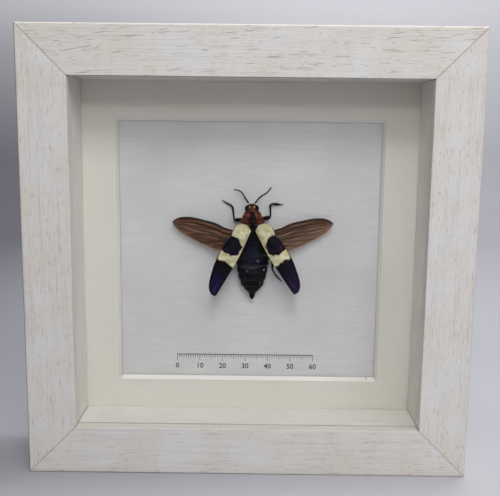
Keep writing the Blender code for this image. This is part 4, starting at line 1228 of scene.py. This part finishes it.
def make_antenna(side):
    """A saw-edged antenna of eleven joints: each swells to its outer end, then narrows at once."""
    samples = ANTENNA_JOINTS * JOINT_SAMPLES + 1
    line = curve_through(ANTENNAE[side], samples)
    phase = np.linspace(0, ANTENNA_JOINTS, samples) % 1
    place = np.linspace(0, 1, samples)
    swelling = 0.72 + 0.5 * smooth_step(0, 0.75, phase) - 0.5 * smooth_step(0.85, 1.0, phase)
    path = np.column_stack([line, np.interp(place, (0, 1), ANTENNA_RADIUS) * swelling])
    piece(f"sawn_antenna_{side}", skin(limb_rings(path, samples, 14)), BLACK_CUTICLE,
          [f"antenna_{side}"], crease=80)


def claw(tip, heading, turn):
    """A small curved claw: a tapering tube that leaves the foot's tip and bends to one side."""
    reach = np.linspace(0, 1, 6)
    angle = math.atan2(heading[1], heading[0]) + turn * (0.5 + 0.9 * reach)
    step = 0.16 * np.stack([np.cos(angle), np.sin(angle)], -1)
    places = np.array(tip[:2]) + np.cumsum(step, axis=0)
    path = np.column_stack([places, tip[2] - 0.25 * reach, 0.1 * (1 - 0.75 * reach)])
    return skin(limb_rings(path, 12, 6))


def make_leg(name, path):
    """A leg: one tapering tube through its joints, from under the body, with two claws at its tip.

    Past the shin its radius narrows at even steps, as at the joints of a foot.
    """
    path = [(x, z, h, (THIGH_FULLNESS if k < 3 else LEG_FULLNESS) * radius)
            for k, (x, z, h, radius) in enumerate(path)]
    x, z, h, radius = path[0]
    path = [(x - COXA * math.copysign(1, x), z, h, radius)] + path
    rings = limb_rings(path, 9 * len(path), 18)
    place = np.linspace(0, 1, len(rings))[:, None]
    foot = smooth_step(0.58, 0.64, place)
    relief = 0.02 * ripples(rings, 0.6, 95) - 0.13 * foot * np.cos(place * 2 * math.pi * 12.5) ** 6
    rings = raised(rings, relief)
    heading = np.array(path[-1][:2]) - np.array(path[-2][:2])
    parts = [skin(rings), claw(path[-1], heading, 1), claw(path[-1], heading, -1)]
    piece(f"jointed_{name}", joined(parts), BLACK_CUTICLE, [name], crease=80)


# Specks: x, z and size, with h over the board before the size where it is dirt
DIRT = [(55.2, -49.2, 0.1, 0.45), (45.9, -52.7, 0.1, 0.3), (-24.3, -45.0, 0.1, 0.4), (60.2, -57.7, 1.8, 0.4),
        (52.5, -57.2, 0.9, 0.7)]
DUST = [(-1.0, -8.3, 0.34), (6.3, -7.9, 0.6), (3.7, -4.0, 0.34), (6.7, -1.6, 0.3), (-1.5, -11.3, 0.26),
        (4.8, -13.9, 0.3), (7.2, -6.0, 0.26), (-2.5, -14.0, 0.24), (-1.6, -15.9, 0.24), (-3.4, -7.0, 0.18),
        (0.9, -6.2, 0.18), (2.6, -6.0, 0.16), (-0.4, -6.3, 0.16), (4.6, -6.4, 0.18), (-2.2, -6.5, 0.16),
        (2.2, -9.6, 0.16), (-3.2, -9.9, 0.16), (5.3, -10.4, 0.18), (0.2, -12.4, 0.16), (3.4, -11.6, 0.16)]


def flake(x, z, h, size, seed):
    """A small lumpy flake: a flattened ball with uneven radius."""
    rows, sides = 5, 8
    polar = np.linspace(0.3, math.pi - 0.3, rows)[:, None]
    turn = full_turn(sides)
    random = np.random.default_rng(seed)
    radius = size / 2 * random.uniform(0.7, 1.25, (rows, sides))
    stretch = random.uniform(0.6, 1.6)
    return skin(over_board(x + radius * np.sin(polar) * np.cos(turn) * stretch,
                           z + radius * np.sin(polar) * np.sin(turn) / stretch,
                           h + 0.35 * radius * np.cos(polar)))


def abdomen_height(x, z):
    """Height of the abdomen's back at a place, from its top and its rounded section."""
    share = np.clip(abs(x - BODY_X) / table_at(ABDOMEN_WIDTH, z), 0, 0.98)
    top = table_at(ABDOMEN_TOP, z)
    return (top + BODY_CLEARANCE) / 2 + (top - BODY_CLEARANCE) / 2 * (1 - share ** 2.5) ** 0.4


def make_specks():
    """Dirt that has fallen on the board, mat and bevel, and pale dust on the abdomen."""
    dirt = [flake(x, z, h + 0.1, size, 100 + k) for k, (x, z, h, size) in enumerate(DIRT)]
    dust = [flake(x, z, abdomen_height(x, z) + 0.1, 1.3 * size, 200 + k)
            for k, (x, z, size) in enumerate(DUST)]
    piece("dirt_specks", joined(dirt), DIRT_CRUMBS)
    piece("dust_specks", joined(dust), DUST_CRUMBS)


# Back of the frame

def dress_back():
    """Finishes for the panel, the tabs, the hanger and the glue, whose solids are right as they are."""
    finishes = {"glass": GLASS, "back_panel": HARDBOARD, "hanger": BRASSED, "hanger_rivet_left": BRASSED,
                "hanger_rivet_right": BRASSED, "glue_dab": GLUE}
    finishes.update({name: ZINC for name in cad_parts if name.startswith("retaining_tab")})
    for name, surface in finishes.items():
        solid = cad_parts[name]
        solid.data.materials.clear()
        solid.data.materials.append(surface)


# Camera, lamps and stage

CAMERA_PLACE = (0.0013047, -0.289713, 0.1349397)
CAMERA_RIGHT = (0.99993, 0.005, 0.01093)
CAMERA_DOWN = (0.01154, -0.14629, -0.98917)
CAMERA_FORWARD = (-0.00334, 0.98923, -0.14634)
LENS = 50.2                    # for a sensor 36 mm wide
FLOOR_REACH = 2500             # from the object to the floor's sides and front
BEND_START, BEND_RADIUS = 700, 300
BACKDROP_HEIGHT = 2200
STAGE_COLUMNS = 12
MIDDLE = (0.0, 0.0, 0.09)      # of the frame, in metres
# For each lamp: its place and its target in metres, its size, its power in watts and its colour
LAMPS = {"key_lamp": ((0.03, -0.29, 0.435), MIDDLE, 0.1, 0.365, "#fffdfa"),
         "low_lamp": ((0.02, -0.6, 0.38), MIDDLE, 0.06, 0.4, "#fffdfa"),
         "front_lamp": ((0.44, -0.37, 0.49), MIDDLE, 0.4, 0.7, "#fcfcff"),
         "top_lamp": ((0.1, -0.2, 1.1), (0.0, -0.1, 0.0), 0.8, 1.5, "#fdfdff"),
         "ceiling_lamp": ((0.12, 0.03, 0.9), (0.05, 0.0, 0.0), 0.08, 1.8, "#fdfdff"),
         "backdrop_lamp": ((0.25, 0.25, 0.9), (0.1, 0.9, 0.5), 0.4, 2.7, "#fcfcff")}
SURROUND_STRENGTH = 0.34


def make_camera():
    """The camera where the photograph was taken from, found from the frame's corners and glass line."""
    data = bpy.data.cameras.new("camera")
    data.sensor_width = 36.0
    data.lens = LENS
    data.clip_start = 0.01
    camera = new_object("camera", data)
    rows = [(CAMERA_RIGHT[k], -CAMERA_DOWN[k], -CAMERA_FORWARD[k], CAMERA_PLACE[k]) for k in range(3)]
    camera.matrix_world = Matrix((*rows, (0, 0, 0, 1)))
    bpy.context.scene.camera = camera


def lamp(name, place, target, size, power, colour):
    """A square soft lamp at a place, turned to a target."""
    data = bpy.data.lights.new(name, "AREA")
    data.size = size
    data.energy = power
    data.color = linear(colour)[:3]
    light = new_object(name, data)
    away = Vector(place) - Vector(target)
    light.matrix_world = Matrix.Translation(place) @ away.to_track_quat("Z", "Y").to_matrix().to_4x4()


def make_stage():
    """A pale floor that curves up into a backdrop far enough behind for a camera to go round the object."""
    bend = np.linspace(0, math.pi / 2, 16)[1:]
    flat = np.linspace(-FLOOR_REACH, BEND_START, 24)
    y = np.concatenate([flat, BEND_START + BEND_RADIUS * np.sin(bend), [BEND_START + BEND_RADIUS]])
    z = np.concatenate([0 * flat, BEND_RADIUS * (1 - np.cos(bend)), [BACKDROP_HEIGHT]])
    x = np.linspace(-FLOOR_REACH, FLOOR_REACH, STAGE_COLUMNS)
    points = np.stack(np.broadcast_arrays(x, y[:, None], z[:, None]), -1)
    mesh = bpy.data.meshes.new("floor_and_backdrop")
    quads = grid_quads(len(y), STAGE_COLUMNS)[:, ::-1]
    mesh.from_pydata((points.reshape(-1, 3) * MM).tolist(), [], quads.tolist())
    mesh.materials.append(plain_stage())
    mesh.shade_smooth()
    new_object("floor_and_backdrop", mesh)


def make_light():
    """A small near lamp above and a lower one farther off in front, broad ones at the right and
    above, a small one overhead, one for the backdrop, and an even pale surround."""
    for name, (place, target, size, power, colour) in LAMPS.items():
        lamp(name, place, target, size, power, colour)
    world = bpy.data.worlds.new("surround")
    world.use_nodes = True
    background = world.node_tree.nodes["Background"]
    background.inputs["Color"].default_value = linear("#fcfcff")
    background.inputs["Strength"].default_value = SURROUND_STRENGTH
    bpy.context.scene.world = world
    settings = bpy.context.scene.view_settings
    settings.view_transform = "Standard"
    settings.look = "None"


make_camera()
make_stage()
make_light()
make_rails()
make_spacers()
make_mat()
make_board()
make_scale()
dress_back()
for side in ("left", "right"):
    make_elytron(side)
    make_hindwing(side)
    make_antenna(side)
make_abdomen()
make_thorax()
make_pronotum()
make_head()
for name, path in LEGS.items():
    make_leg(name, path)
make_specks()
